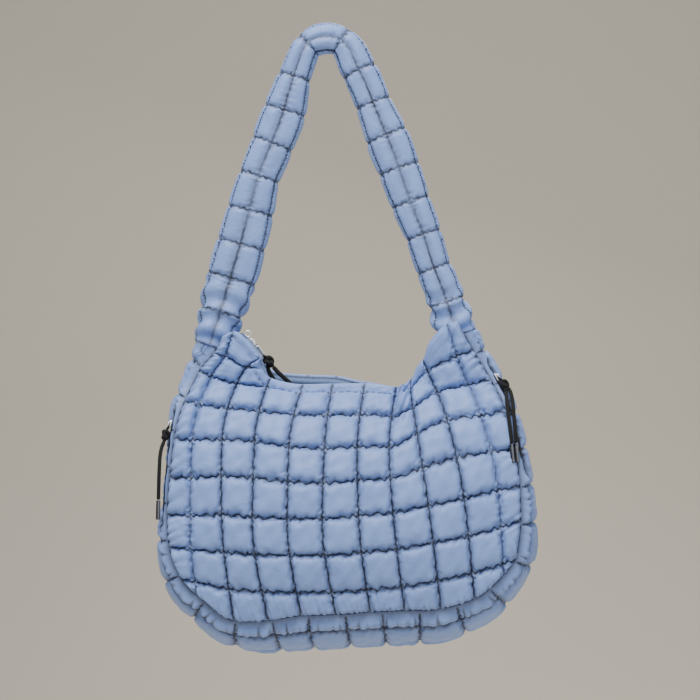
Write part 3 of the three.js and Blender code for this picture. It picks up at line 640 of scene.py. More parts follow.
def make_piece(
    name: str, shell: Shell, finish: Finish, stands_for: Sequence[str]
) -> bpy.types.Object:
    """Makes a mesh piece that rides on the bag.

    Args:
        name: The piece's name.
        shell: Its vertices and faces, in place.
        finish: What it is made of.
        stands_for: The nodes that it replaces.

    Returns:
        The new object.
    """
    mesh = bpy.data.meshes.new(name)
    faces = [f for f in (shell.quads, shell.triangles) if len(f)]
    sizes = np.concatenate([np.full(len(f), f.shape[1]) for f in faces])
    corners = np.concatenate([f.ravel() for f in faces])
    mesh.vertices.add(len(shell.vertices))
    mesh.vertices.foreach_set("co", shell.vertices.astype(np.float32).ravel())
    mesh.loops.add(len(corners))
    mesh.loops.foreach_set("vertex_index", corners.astype(np.int32))
    mesh.polygons.add(len(sizes))
    mesh.polygons.foreach_set("loop_start", (np.cumsum(sizes) - sizes).astype(np.int32))
    mesh.polygons.foreach_set("loop_total", sizes.astype(np.int32))
    mesh.polygons.foreach_set("use_smooth", np.ones(len(sizes), bool))
    if shell.seam is not None:
        mesh.attributes.new("seam", "FLOAT", "POINT").data.foreach_set("value", shell.seam.astype(np.float32))
    if shell.cloth is not None:
        layer = mesh.uv_layers.new(name="cloth")
        layer.data.foreach_set("uv", shell.cloth[corners].astype(np.float32).ravel())
    mesh.update(calc_edges=True)
    mesh.validate()
    piece = bpy.data.objects.new(name, mesh)
    bpy.context.scene.collection.objects.link(piece)
    piece.data.materials.append(finish.material())
    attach(piece, "root")
    if stands_for:
        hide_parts(*stands_for)
    count = 2 * int((sizes == 4).sum()) + int((sizes == 3).sum())
    log.info("%s: %d triangles, replaces %s", name, count, ", ".join(stands_for) or "nothing")
    return piece


# The quilted cloth


CLOTH_SETTINGS = {
    "quality": 6,
    "mass": 0.15,
    "tension_stiffness": 60,
    "compression_stiffness": 60,
    "shear_stiffness": 20,
    "bending_stiffness": 0.12,
    "tension_damping": 12,
    "compression_damping": 12,
    "shear_damping": 12,
    "air_damping": 4,
    "vertex_group_mass": "seams",
    "pin_stiffness": 1,
    "use_pressure": True,
}


@dataclass
class Quilt:
    """A swatch of quilted cloth, swollen by a cloth simulation and read off as a repeating relief.

    Lengths are in cells. The seams are pinned a little closer together than the cloth between them is long,
    so that the cloth swells and gathers along them as a sewn puffer does.
    """

    cells: int = 4
    per_cell: int = 26
    ease: float = 0.125
    gathers: int = 4
    waver: float = 0.034
    reach: float = 0.12
    crown: float = 0.04
    noise: float = 0.002
    pressure: float = 9.0
    frames: int = 42
    seed: int = 7
    most_shift: float = 0.16
    full_share: float = 97
    least_height: float = -0.3
    most_height: float = 1.25
    flatness: float = 1.9
    tightness: float = 0.075
    relief: np.ndarray = field(default_factory=lambda: np.zeros((0, 0, 3)))

    def flat(self) -> np.ndarray:
        """The swatch before it swells: a flat grid with wavering seams and a low crown on each cell.

        Returns:
            The points, (count, count, 3).
        """
        count = self.cells * self.per_cell + 1
        line = np.arange(count) / self.per_cell
        x, y = np.meshgrid(line, line, indexing="ij")
        rng = np.random.default_rng(self.seed)
        turn = rng.uniform(0, 2 * np.pi, (6, self.cells + 1))
        turn[:, -1] = turn[:, 0]
        crown = np.sin(np.pi * x) ** 2 * np.sin(np.pi * y) ** 2
        near_x, near_y = bell(off_seam(x), self.reach), bell(off_seam(y), self.reach)
        ix, iy = np.round(x).astype(int), np.round(y).astype(int)

        def wave(along: np.ndarray, line_number: np.ndarray, row: int) -> np.ndarray:
            """A repeating waver along a seam, of two wave counts a cell."""
            first = np.sin(2 * np.pi * self.gathers * along + turn[row, line_number])
            second = np.sin(2 * np.pi * (self.gathers - 1.25) * along + turn[row + 1, line_number])
            return first + 0.6 * second

        points = np.stack([x, y, self.crown * crown + rng.normal(0, self.noise, x.shape)], -1)
        points[..., 1] += self.waver * wave(x, iy, 0) * near_y
        points[..., 0] += 0.6 * self.waver * wave(y, ix, 2) * near_x
        lift = wave(x + 0.08, iy, 0) * near_y + 0.6 * wave(y, ix, 4) * near_x
        points[..., 2] += 0.35 * self.waver * lift
        return points

    def simulate(self) -> np.ndarray:
        """The swatch's points once Blender's Cloth has swollen it, its seams pinned.

        Returns:
            The points, (count, count, 3).
        """
        start = self.flat()
        count = start.shape[0]
        number = np.arange(count * count).reshape(count, count)
        corners = [number[:-1, :-1], number[1:, :-1], number[1:, 1:], number[:-1, 1:]]
        mesh = bpy.data.meshes.new("swatch")
        mesh.from_pydata(start.reshape(-1, 3).tolist(), [], np.stack(corners, -1).reshape(-1, 4).tolist())
        swatch = bpy.data.objects.new("swatch", mesh)
        scene = bpy.context.scene
        scene.collection.objects.link(swatch)
        seams = swatch.vertex_groups.new(name="seams")
        on_seam = np.zeros((count, count), bool)
        on_seam[:: self.per_cell, :] = True
        on_seam[:, :: self.per_cell] = True
        seams.add(number[on_seam].tolist(), 1.0, "REPLACE")
        modifier = swatch.modifiers.new("Swelling", "CLOTH")
        cloth = modifier.settings
        for setting, value in CLOTH_SETTINGS.items():
            setattr(cloth, setting, value)
        cloth.shrink_min = -self.ease
        cloth.uniform_pressure_force = self.pressure
        cloth.effector_weights.gravity = 0
        modifier.collision_settings.use_collision = False
        modifier.point_cache.frame_end = self.frames
        for moment in range(1, self.frames + 1):
            scene.frame_set(moment)
        swollen = swatch.evaluated_get(bpy.context.evaluated_depsgraph_get()).to_mesh()
        points = np.empty(count * count * 3, np.float32)
        swollen.vertices.foreach_get("co", points)
        bpy.data.objects.remove(swatch)
        bpy.data.meshes.remove(mesh)
        scene.frame_set(1)
        return points.reshape(count, count, 3).astype(float)

    def swell(self) -> None:
        """Works out the relief: each place's shift in the cloth's plane, and its height from 0 to about 1."""
        points = self.simulate()
        line = np.arange(points.shape[0]) / self.per_cell
        x, y = np.meshgrid(line, line, indexing="ij")
        shift = points - np.stack([x, y, np.zeros_like(x)], -1)
        shift[..., :2] = np.clip(shift[..., :2], -self.most_shift, self.most_shift)
        full = np.percentile(shift[..., 2], self.full_share)
        top = self.most_height
        height = np.clip(shift[..., 2] / full, self.least_height, top)
        shift[..., 2] = np.where(height > 0, top * (1 - (1 - height / top) ** self.flatness), height)
        self.relief = shift[:-1, :-1]
        log.info("quilt: swollen height %.3f cells", full)

    def read(self, u: np.ndarray, v: np.ndarray) -> np.ndarray:
        """The relief at places on the cloth, by a Catmull-Rom blend of the four by four points round each.

        It is read a little further from each seam than the place is, by a sine that draws the valleys tight.

        Args:
            u: Cells across.
            v: Cells down.

        Returns:
            The shifts and heights, (n, 3).
        """
        count = self.relief.shape[0]
        tight = [np.asarray(w) + self.tightness * np.sin(2 * np.pi * np.asarray(w)) for w in (u, v)]
        gu, gv = (w * self.per_cell for w in tight)
        iu, iv = np.floor(gu).astype(int), np.floor(gv).astype(int)

        def weights(w: np.ndarray) -> list[np.ndarray]:
            """The blend's four weights."""
            return [
                0.5 * (-w + 2 * w**2 - w**3),
                0.5 * (2 - 5 * w**2 + 3 * w**3),
                0.5 * (w + 4 * w**2 - 3 * w**3),
                0.5 * (-(w**2) + w**3),
            ]

        wu, wv = weights(gu - iu), weights(gv - iv)
        value = np.zeros((*np.shape(u), 3))
        for a in range(4):
            for b in range(4):
                value += (wu[a] * wv[b])[..., None] * self.relief[(iu + a - 1) % count, (iv + b - 1) % count]
        return value


def tucks(along: np.ndarray, number: np.ndarray, pitch: float, wave: float) -> np.ndarray:
    """Uneven tucks along a seam, from -1 to 1: a sharpened sine whose phase and strength wander."""
    phase = np.pi * along * pitch / wave + 1.3 * np.sin(5.2 * along + 2.1 * number) + 2.7 * number
    return (1 - 2 * np.abs(np.sin(phase))) * (0.6 + 0.4 * np.sin(2.3 * along + 4.1 * number))


TUCK_WAVE = 8.5 * MM


def seam_mask(
    u: np.ndarray, v: np.ndarray, pitch_u: float, pitch_v: float, half: float = 1.15 * MM
) -> np.ndarray:
    """1 on a quilting seam, whose dark line is its thread and painted shade in its groove, falling off as a
    bell whose width wavers along it.

    A wide, faint bell of painted shade lies round it, where the cloth dips into the seam, and the crossings
    of two seams have a bell of their own: their threads and painted shade in the pit between the cells.
    """
    waver_u = 1 + 0.4 * np.sin(2 * np.pi * 4.3 * v + 2 * np.round(u)) * np.sin(2 * np.pi * 1.7 * v)
    waver_v = 1 + 0.4 * np.sin(2 * np.pi * 4.7 * u + 3 * np.round(v)) * np.sin(2 * np.pi * 1.3 * u)
    scallop = 0.9 * MM * tucks(u, np.round(v), pitch_u, TUCK_WAVE)
    off_u, off_v = (u - np.round(u)) * pitch_u, (v - np.round(v)) * pitch_v
    lines = np.maximum(bell(off_u, half * waver_u), bell(off_v - scallop, half * waver_v))
    # Where two seams cross: their threads, and painted shade in the pit between the cells.
    crossing = 0.95 * bell(off_u, 2.2 * MM) * bell(off_v, 2.2 * MM)
    # Painted shade: a wide, faint darkening round every seam, where the cloth dips into it.
    soft = 0.2 * bell(np.minimum(np.abs(off_u), np.abs(off_v)), 3.8 * MM)
    return np.maximum.reduce([lines, crossing, soft])


def gathers(along: np.ndarray, from_edge: np.ndarray, wave: float, reach: float) -> np.ndarray:
    """Uneven gathers at a sewn edge, -1 to 1: round ridges with sharp creases between them."""
    swing = 2 * np.abs(np.sin(np.pi * along / wave + 0.9 * np.sin(2 * np.pi * along / (5.3 * wave)))) - 1
    swing = swing * (0.65 + 0.35 * np.sin(2 * np.pi * along / (3.1 * wave)))
    return swing * np.exp(-from_edge / reach)


def ruffles(
    u: np.ndarray, v: np.ndarray, pitch_u: float, pitch_v: float, wave: float = TUCK_WAVE
) -> np.ndarray:
    """Small ridges that run off the seams into the cells, from -1 to 1, as sewn thread draws the cloth up.

    Beside a seam they are a sharpened sine along it, whose phase wanders. They fade a few millimetres away.

    Args:
        u: Cells across.
        v: Cells down.
        pitch_u: Metres in a cell across.
        pitch_v: Metres in a cell down.
        wave: Metres from one ridge to the next.

    Returns:
        The ridges' height beside the seams across (first row) and down (second row), (2, n).
    """

    def beside(along: np.ndarray, off: np.ndarray, pitch: float, off_pitch: float) -> np.ndarray:
        """The ridges beside one set of seams."""
        number = np.round(off)
        away = np.abs(off - number) * off_pitch
        fade = np.exp(-((away / (5.2 * MM)) ** 1.3)) * smoothstep(away, 0, 0.9 * MM)
        return tucks(along, number, pitch, wave) * fade

    return np.stack([beside(u, v, pitch_u, pitch_v), beside(v, u, pitch_v, pitch_u)])


def normals_of(
    surface: Surface, u: np.ndarray, v: np.ndarray, steps: tuple[float, float], side: np.ndarray
) -> np.ndarray:
    """Unit normals of a surface: its slopes by u crossed with those by v, turned to a side."""
    along_u = surface(u + steps[0], v) - surface(u - steps[0], v)
    along_v = surface(u, v + steps[1]) - surface(u, v - steps[1])
    return turned_to(unit(np.cross(along_u, along_v)), side)


# The panels


SEAM_ROWS = (-2, -1, 0, 2, 4, 7)
SEAM_X = np.array(
    [
        [0.108, 0.077, 0.041, 0.003, 0.0, 0.018],
        [0.179, 0.161, 0.124, 0.084, 0.084, 0.108],
        [0.259, 0.219, 0.193, 0.164, 0.169, 0.201],
        [0.322, 0.296, 0.274, 0.251, 0.251, 0.293],
        [0.396, 0.383, 0.369, 0.343, 0.343, 0.383],
        [0.473, 0.462, 0.451, 0.438, 0.435, 0.475],
        [0.549, 0.544, 0.538, 0.525, 0.53, 0.565],
        [0.637, 0.631, 0.623, 0.609, 0.62, 0.654],
        [0.668, 0.668, 0.665, 0.683, 0.712, 0.747],
        [0.662, 0.686, 0.71, 0.763, 0.805, 0.834],
        [0.74, 0.763, 0.789, 0.852, 0.894, 0.91],
        [0.79, 0.831, 0.873, 0.942, 0.979, 0.995],
    ]
)
SEAM_DROP = np.array(
    [
        [0.041, 0.062, 0.109, 0.342, 0.578, 0.865],
        [0.025, 0.084, 0.149, 0.351, 0.584, 0.885],
        [0.087, 0.118, 0.174, 0.351, 0.581, 0.919],
        [0.068, 0.124, 0.186, 0.357, 0.587, 0.925],
        [0.065, 0.127, 0.189, 0.373, 0.59, 0.925],
        [0.062, 0.124, 0.189, 0.379, 0.59, 0.925],
        [0.062, 0.124, 0.189, 0.373, 0.581, 0.919],
        [0.075, 0.137, 0.199, 0.373, 0.571, 0.91],
        [0.02, 0.099, 0.18, 0.332, 0.55, 0.888],
        [-0.006, 0.062, 0.13, 0.292, 0.528, 0.866],
        [-0.11, -0.016, 0.084, 0.276, 0.503, 0.839],
        [-0.13, -0.037, 0.053, 0.261, 0.488, 0.79],
    ]
)
SIDE_ROWS = (-2.5, -1, 0, 1, 2, 4, 5, 6, 6.5, 7)
LEFT_EDGE = Column(SIDE_ROWS, (0.62, 0.62, 0.6, 0.5, 0.38, 0.24, 0.28, 0.58, 0.95, 1.5))
RIGHT_EDGE = Column(SIDE_ROWS, (10.3, 10.4, 10.52, 10.66, 10.75, 10.68, 10.62, 10.4, 10.05, 9.6))
FRONT_RIM = Column(
    (0.5, 1.1, 1.5, 2, 2.5, 3, 4, 6, 7, 8, 8.5, 9, 9.4, 10, 10.6),
    (-2.1, -2.35, -2.3, -2.0, -1.1, -0.5, -0.22, -0.25, -0.25, -0.3, -0.5, -0.5, -0.85, -1.02, -0.95),
)
BACK_RIM = Column(
    (0.5, 1.1, 1.5, 2, 2.5, 3, 4, 5, 6, 7, 8, 9, 9.4, 10, 10.6),
    (-2.1, -2.35, -2.3, -2.0, -1.25, -0.85, -0.75, -0.65, -0.35, -0.25, -0.3, -0.5, -0.85, -1.02, -0.95),
)
BOTTOM_EDGE = Column(
    (0.2, 0.6, 1, 2, 3, 4, 6, 7, 8, 9, 10, 10.6),
    (5.9, 6.15, 6.45, 6.9, 6.83, 6.68, 6.62, 6.65, 6.8, 6.72, 6.32, 5.85),
)
FULLNESS_DROP = (-0.1, 0, 0.05, 0.1, 0.17, 0.25, 0.35, 0.5, 0.7, 0.85, 1)
FULL_MIDDLE = Column(FULLNESS_DROP, (0.3, 0.32, 0.3, 0.25, 0.2, 0.42, 0.68, 0.9, 1.0, 0.9, 0.7))
FULL_SIDE = Column(FULLNESS_DROP, (0.3, 0.32, 0.33, 0.38, 0.47, 0.58, 0.66, 0.72, 0.76, 0.76, 0.74))
QUILT_PITCH = 41 * MM
WALL_HALF = 2 * MM
TOP_ROW, LAST_ROW, LAST_SEAM = -3, 7, 11
# In metres: a pitch so wide that the seams across it have no mask of their own.
NO_SEAMS = 1e3


class Side(Enum):
    """The bag's two panels, by the way they face along Y."""

    FRONT = -1
    BACK = 1


@dataclass
class Panel:
    """One quilted panel of the bag, front or back. Its facing is in cells and the rest in metres."""

    side: Side
    rim: Column
    per_cell: int
    width: float = 428 * MM
    drop: float = 364 * MM
    shift: float = 34 * MM
    hook_to_base: float = 327 * MM
    depth: float = 166 * MM
    puff: float = 6.4 * MM
    facing: float = 0.48
    pleat_depth: float = 8 * MM
    gather_wave: float = 8.5 * MM
    gather_rise: float = 2.2 * MM
    ripple: float = 0.7 * MM

    def shares(self, seam: np.ndarray, row: np.ndarray) -> tuple[np.ndarray, np.ndarray]:
        """A place on the flat cloth as shares of the width and drop, by a curve down each seam, then across.
        """
        found = []
        for table in (SEAM_X, SEAM_DROP):
            by_seam = np.stack([monotone(SEAM_ROWS, line, row, True) for line in table])
            found.append(monotone(range(len(table)), by_seam.reshape(len(table), -1), seam, True))
        return found[0], found[1]

    def middle(self, seam: np.ndarray, row: np.ndarray) -> np.ndarray:
        """The middle of the padded wall, which is deepest on the bag's midline."""
        x, drop = self.shares(seam, row)
        outwards = np.minimum(1, np.abs(2 * x - 1)) ** 2.5
        centre = FULL_MIDDLE(drop)
        half = self.depth / 2 * (centre + (FULL_SIDE(drop) - centre) * outwards)
        across = self.shift + (x - 0.5) * self.width
        return np.stack([across, self.side.value * half, -self.hook_to_base - drop * self.drop], -1)

    def trimmed(self, seam: np.ndarray, row: np.ndarray) -> tuple[np.ndarray, np.ndarray]:
        """Places past the cut edge, brought back onto it by clamping in turn to its rim, foot and sides."""
        s, t = seam, row
        for _ in range(8):
            t = np.clip(t, self.rim(s), BOTTOM_EDGE(s))
            s = np.clip(s, LEFT_EDGE(t), RIGHT_EDGE(t))
        return s, np.clip(t, self.rim(s), BOTTOM_EDGE(s))

    def from_edge(self, s: np.ndarray, t: np.ndarray) -> np.ndarray:
        """Cells between a place and the nearest cut edge."""
        from_side = np.minimum(s - LEFT_EDGE(t), RIGHT_EDGE(t) - s)
        return np.minimum(from_side, np.minimum(t - self.rim(s), BOTTOM_EDGE(s) - t))

    def outline(self) -> np.ndarray:
        """The sewn edge as a polyline: down the left side, along the bottom and up the right side."""
        rows, seams = cell_stations(TOP_ROW, LAST_ROW, 16), cell_stations(0, LAST_SEAM, 16)
        s = np.concatenate([np.zeros_like(rows), seams, np.full_like(rows, LAST_SEAM)])
        t = np.concatenate([rows, np.full_like(seams, LAST_ROW), rows[::-1]])
        s, t = self.trimmed(s, t)
        keep = np.concatenate([[True], np.hypot(np.diff(s), np.diff(t)) > 1e-4])
        return self.middle(s[keep], t[keep])

    def pleat(self, s: np.ndarray, t: np.ndarray) -> np.ndarray:
        """How deep the fold below the right peak is: a bell across it and a ridge beside it."""
        if self.side is Side.BACK:
            return np.zeros_like(s)
        across = bell(s - 7.12, 0.11) - 0.4 * bell(s - 7.45, 0.17)
        slanting = 0.28 * np.sin(2 * np.pi * (2.2 * s + 1.9 * t)) * bell(s - 7.5, 0.5)
        return self.pleat_depth * (across + slanting) * (1 - smoothstep(t, 0.2, 1.8))

    def level(self, s: np.ndarray) -> np.ndarray:
        """1 where the rim runs level between its peaks, and 0 on them."""
        return smoothstep(s, 1.6, 3.2) * (1 - smoothstep(s, 8.2, 9.2))

    def outermost(self, s: np.ndarray) -> np.ndarray:
        """Whether a place is near the first or the last seam down the cloth."""
        return (np.abs(s - 1) < 0.4) | (np.abs(s - 10) < 0.4)

    def off_rim_seam(self, s: np.ndarray, t: np.ndarray) -> np.ndarray:
        """0 on the seam a facing's width below the level rim, and 1 away from it."""
        away = np.abs(t - self.rim(s) - self.facing)
        return 1 - (0.1 + 0.9 * self.level(s)) * (1 - smoothstep(away, 0.0, 0.12))

    def gathered(self, s: np.ndarray, t: np.ndarray, edge: np.ndarray) -> tuple[np.ndarray, np.ndarray]:
        """Metres round the sewn edge, and the gathers there."""
        at_foot = np.abs(t - BOTTOM_EDGE(s)) < 0.6
        around_edge = (np.where(at_foot, s, t) + 0.3 * (s - t)) * QUILT_PITCH
        return around_edge, gathers(around_edge, edge, self.gather_wave, 0.3) * (t - self.rim(s) > 0.6)

    def swelling(self, s: np.ndarray, t: np.ndarray, edge: np.ndarray, height: np.ndarray) -> np.ndarray:
        """How far the cloth swells: the quilt's height in the cells, a low roll under the rim, full peaks."""
        below_rim = t - self.rim(s)
        in_band = self.level(s) * (below_rim < self.facing)
        roll = np.clip(np.sin(np.pi * np.clip(below_rim / self.facing, 0, 1)), 0, 1)
        band = 0.5 * np.sqrt(roll) * (0.35 + 0.65 * smoothstep(off_seam(s), 0, 0.12))
        peak = smoothstep(-t, 1.4, 1.75) * smoothstep(off_seam(s), 0, 0.2)
        pillow = np.maximum(height, -0.25) * (1 - peak) + 0.75 * peak
        return pillow * smoothstep(edge, 0, 0.13) * self.off_rim_seam(s, t) * (1 - in_band) + band * in_band

    def mask(
        self, s: np.ndarray, t: np.ndarray, edge: np.ndarray, around_edge: np.ndarray, gather: np.ndarray
    ) -> np.ndarray:
        """How dark the seams are, with the dashes under the rim (thread, with painted shade of the small
        gathers it draws up), the sewn edge and painted shade in the gathers' creases.

        Args:
            s: Seam numbers across the cloth.
            t: Row numbers down the cloth.
            edge: Cells from the cut edge.
            around_edge: Metres round the sewn edge.
            gather: The gathers there.

        Returns:
            The mask, from 0 to 1.
        """
        below_rim = t - self.rim(s)
        quilting = seam_mask(s, t, QUILT_PITCH, QUILT_PITCH) * smoothstep(edge, 0.0, 0.06)
        on_row = off_seam(t) * QUILT_PITCH < 1.2 * MM
        quilting = quilting * np.where(self.outermost(s) & ~on_row, 0.4, 1)
        quiet = (below_rim < self.facing + 0.1) & (off_seam(s) * QUILT_PITCH > 1.6 * MM)
        quilting = quilting * np.where(quiet, 0.12, 1)
        # The topstitch's dashes: dark thread, and painted shade of the small gathers beside it.
        dash = smoothstep(np.sin(2 * np.pi * 5.3 * s + 1.5 * np.sin(2.9 * s)), -0.3, 0.5)
        dashes = 0.85 * self.level(s) * dash * bell((below_rim - self.facing) * QUILT_PITCH, 1.3 * MM)
        sewn = bell(edge * QUILT_PITCH, 1.2 * MM) * (below_rim > 0.2)
        sewn = sewn * (0.45 + 0.35 * tucks(around_edge / QUILT_PITCH, 0 * s, QUILT_PITCH, 7 * MM))
        # Painted shade in the troughs of the gathers.
        creases = 0.3 * smoothstep(-gather, 0.15, 0.8) * smoothstep(edge, 0, 0.04)
        return np.maximum.reduce([quilting, dashes, creases, sewn])

    def sheet(self, quilt: Quilt) -> Shell:
        """The panel as a closed padded wall.

        The outer sheet stands half the wall off its middle, plus the quilt's height. That height shrinks at
        the cut edges and at the seam under the rim. The inner sheet has a third of the swelling.

        Args:
            quilt: The swollen cloth.

        Returns:
            The wall.
        """
        seams = cell_stations(0, LAST_SEAM, self.per_cell)
        rows = cell_stations(TOP_ROW, LAST_ROW, self.per_cell)
        s, t = self.trimmed(*np.meshgrid(seams, rows, indexing="ij"))
        first, quads, triangles = woven(np.stack([s, t], -1))
        s, t = s.ravel()[first], t.ravel()[first]
        edge = self.from_edge(s, t)
        hill = smoothstep(edge, 0, 0.13)
        relief = quilt.read(s, t)
        around_edge, gather = self.gathered(s, t, edge)
        hold = smoothstep(edge, 0, 0.12)
        spread = 0.035 * gather * np.exp(-edge / 0.1)
        at_side = np.minimum(s - LEFT_EDGE(t), RIGHT_EDGE(t) - s) < BOTTOM_EDGE(s) - t
        s2 = s + 0.55 * relief[:, 0] * hold + spread * np.sign(s - 5.5) * at_side
        t2 = t + relief[:, 1] * hold + spread * ~at_side
        outwards = self.side.value * ALONG_Y
        lean = np.minimum(1, 3 * hill)[:, None]
        normal = normals_of(self.middle, s2, t2, (0.05, 0.05), outwards)
        normal = unit(outwards * (1 - lean) + normal * lean)
        base = self.middle(s2, t2)
        swell = self.swelling(s, t, edge, relief[:, 2])
        rise = self.puff * swell * (1 + 0.16 * drift(base, 95 * MM))
        across, down = ruffles(s, t, QUILT_PITCH, QUILT_PITCH)
        inside = smoothstep(edge, 0, 0.2) * smoothstep(t - self.rim(s), self.facing, self.facing + 0.2)
        rise += (1.7 * across + np.where(self.outermost(s), 1.6, 0.7) * down) * MM * inside
        rise += self.ripple * drift(base, 23 * MM) * hill * self.off_rim_seam(s, t)
        rise += self.gather_rise * gather * smoothstep(edge, 0, 0.04) - self.pleat(s, t)
        outer = base + normal * (WALL_HALF + rise)[:, None]
        inner = base - normal * (WALL_HALF + 0.3 * self.puff * np.maximum(swell, 0))[:, None]
        mask = self.mask(s, t, edge, around_edge, gather)
        shell = Shell(outer, quads, triangles, np.stack([s, t], -1) * QUILT_PITCH, mask)
        if self.side is Side.FRONT:
            shell = shell.turned()
        return facing_out(padded_wall(shell, inner))

    def rim_frame(self, seam: np.ndarray, reach: float) -> tuple[np.ndarray, np.ndarray]:
        """Points on the rim at each seam number, and unit vectors from there down the cloth."""
        origin = self.middle(seam, self.rim(seam))
        below = self.middle(seam, self.rim(seam) + reach / QUILT_PITCH)
        return origin, unit(below - origin)

    def build(self, quilt: Quilt) -> bpy.types.Object:
        """Makes the panel."""
        name = f"{self.side.name.lower()}_panel"
        piece = make_piece(f"quilted_{name}", self.sheet(quilt), Finish.NYLON, [name])
        return piece


# The gusset


GUSSET_OUT = Column(
    (
        0, 0.03, 0.06, 0.09, 0.115, 0.15, 0.19, 0.24, 0.27, 0.31,
        0.36, 0.45, 0.58, 0.65, 0.7, 0.78, 0.9, 0.95, 1,
    ),
    (
        0.4, 0.24, 0.18, 0.2, 0.08, -0.35, -0.25, 0.2, 0.42, 0.68,
        0.8, 1.05, 1.05, 0.78, 0.5, 0.26, 0.12, 0.14, 0.22,
    ),
)  # fmt: skip
GUSSET_SEAMS = (0, 0.09, 0.36, 0.64, 0.91, 1)
GUSSET_ROWS = len(GUSSET_SEAMS) - 1


@dataclass
class Gusset:
    """The quilted strip round both sides and the bottom, sewn to both panels."""

    front: Panel
    strap: "Strap"
    per_cell: int = 28
    per_narrow: int = 14
    bulge: float = 37 * MM
    gap: float = 0.4 * MM
    puff: float = 5.6 * MM
    narrow_puff: float = 4.0 * MM
    neck_fill: float = 8 * MM
    strap_gap: float = 0.5 * MM
    row_pitch: float = 44 * MM
    gather_wave: float = 9 * MM
    gather_rise: float = 2.4 * MM
    reach: float = 0.012

    def __post_init__(self) -> None:
        """Measures the sewn edge and counts its cells."""
        self.line = self.front.outline()
        run = distances(self.line)
        self.share = run / run[-1]
        self.length = float(run[-1])
        self.cells = round(self.length / QUILT_PITCH)

    def edge(self, along: np.ndarray) -> np.ndarray:
        """The sewn edge at a share of its length."""
        at = np.clip(along, 0, 1)
        return np.stack([np.interp(at, self.share, self.line[:, k]) for k in range(3)], -1)

    def heading(self, along: np.ndarray) -> np.ndarray:
        """The sewn edge's unit heading, taken over a short reach."""
        return unit(self.edge(along + self.reach) - self.edge(along - self.reach))

    def outwards(self, along: np.ndarray) -> np.ndarray:
        """Away from the panel's middle: the edge's heading, turned a quarter in the panel's plane."""
        heading = self.heading(along)
        return unit(np.stack([heading[..., 2], np.zeros(np.shape(along)), -heading[..., 0]], -1))

    def middle(self, cell: np.ndarray, across: np.ndarray) -> np.ndarray:
        """The wall's middle: straight across between the edges, and out by the sag times a sine of across."""
        along = cell / self.cells
        place = self.edge(along)
        out = GUSSET_OUT(along)
        arc = np.sin(np.pi * np.clip(across, 0, 1)) ** np.where(out < 0, 3.0, 0.8)
        half = np.abs(place[..., 1]) + WALL_HALF
        flat = np.stack([place[..., 0], (2 * across - 1) * half, place[..., 2]], -1)
        return flat + self.outwards(along) * (self.gap + WALL_HALF + self.bulge * out * arc)[..., None]

    def clear_of_strap(self, points: np.ndarray) -> np.ndarray:
        """The points, moved along the strap's line where they would lie past its flat ends."""
        moved = points.copy()
        for end in (0, 1):
            centre, heading = self.strap.line(np.array([float(end)]))
            away = heading[0] * (-1 if end == 0 else 1)
            beyond = (points - centre[0]) @ away
            near = np.linalg.norm(points - centre[0], axis=1) < 2 * self.strap.width
            short = np.where(near & (beyond < self.strap_gap), self.strap_gap - beyond, 0)
            moved += short[:, None] * away
        return moved

    def zip_flat(self, cell: np.ndarray, v: np.ndarray) -> np.ndarray:
        """0 where a side pocket's zip lies on the front narrow row, and 1 elsewhere."""
        from_right = self.cells - cell
        on_left = smoothstep(cell, 2.1, 2.5) * (1 - smoothstep(cell, 5.5, 5.9))
        on_right = smoothstep(from_right, 1.1, 1.5) * (1 - smoothstep(from_right, 4.5, 4.9))
        return 1 - np.maximum(on_left, on_right) * (v < 1.0)

    def place_in(self, cell: np.ndarray, v: np.ndarray) -> tuple[np.ndarray, np.ndarray, np.ndarray]:
        """Whether a place is in a narrow row, its rows from a sewn edge and its cells from an end."""
        slim = (v < 1) | (v > GUSSET_ROWS - 1)
        return slim, np.minimum(v, GUSSET_ROWS - v), np.minimum(cell, self.cells - cell)

    def gathered(self, cell: np.ndarray, v: np.ndarray) -> np.ndarray:
        """The gathers over the narrow rows and just inside their seams."""
        slim, edge_v, _ = self.place_in(cell, v)
        below_row = np.maximum(edge_v - 1, 0) * self.row_pitch
        held = np.where(slim, np.abs(np.sin(np.pi * edge_v)) ** 0.7, smoothstep(below_row, 0, 2 * MM))
        return gathers(cell * QUILT_PITCH, below_row, self.gather_wave, self.gather_wave) * held

    def rise(self, cell: np.ndarray, v: np.ndarray, height: np.ndarray, base: np.ndarray) -> np.ndarray:
        """How far the cloth stands off its wall: swelling, gathers, a full neck, ruffles and ripples."""
        slim, edge_v, edge_u = self.place_in(cell, v)
        off_zip = self.zip_flat(cell, v)
        puff = np.where(slim, self.narrow_puff * off_zip, self.puff)
        cap = smoothstep(edge_u, 0, 0.4) * smoothstep(edge_v, 0, 0.25)
        rise = np.maximum(height, -0.25) * puff * cap * (1 + 0.15 * drift(base, 80 * MM))
        rise += self.gather_rise * self.gathered(cell, v) * off_zip * smoothstep(edge_u, 0, 0.4)
        rise += self.neck_fill * bell(cell, 1.1) * smoothstep(edge_v, 0, 1.6)
        along_rows, along_cells = ruffles(cell, v, QUILT_PITCH, self.row_pitch)
        quiet = off_zip * smoothstep(edge_v, 0, 0.2) * smoothstep(edge_u, 0, 0.4)
        rise += (1.4 * along_rows + 1.2 * along_cells) * MM * quiet
        return rise + 0.7 * MM * drift(base, 23 * MM) * cap

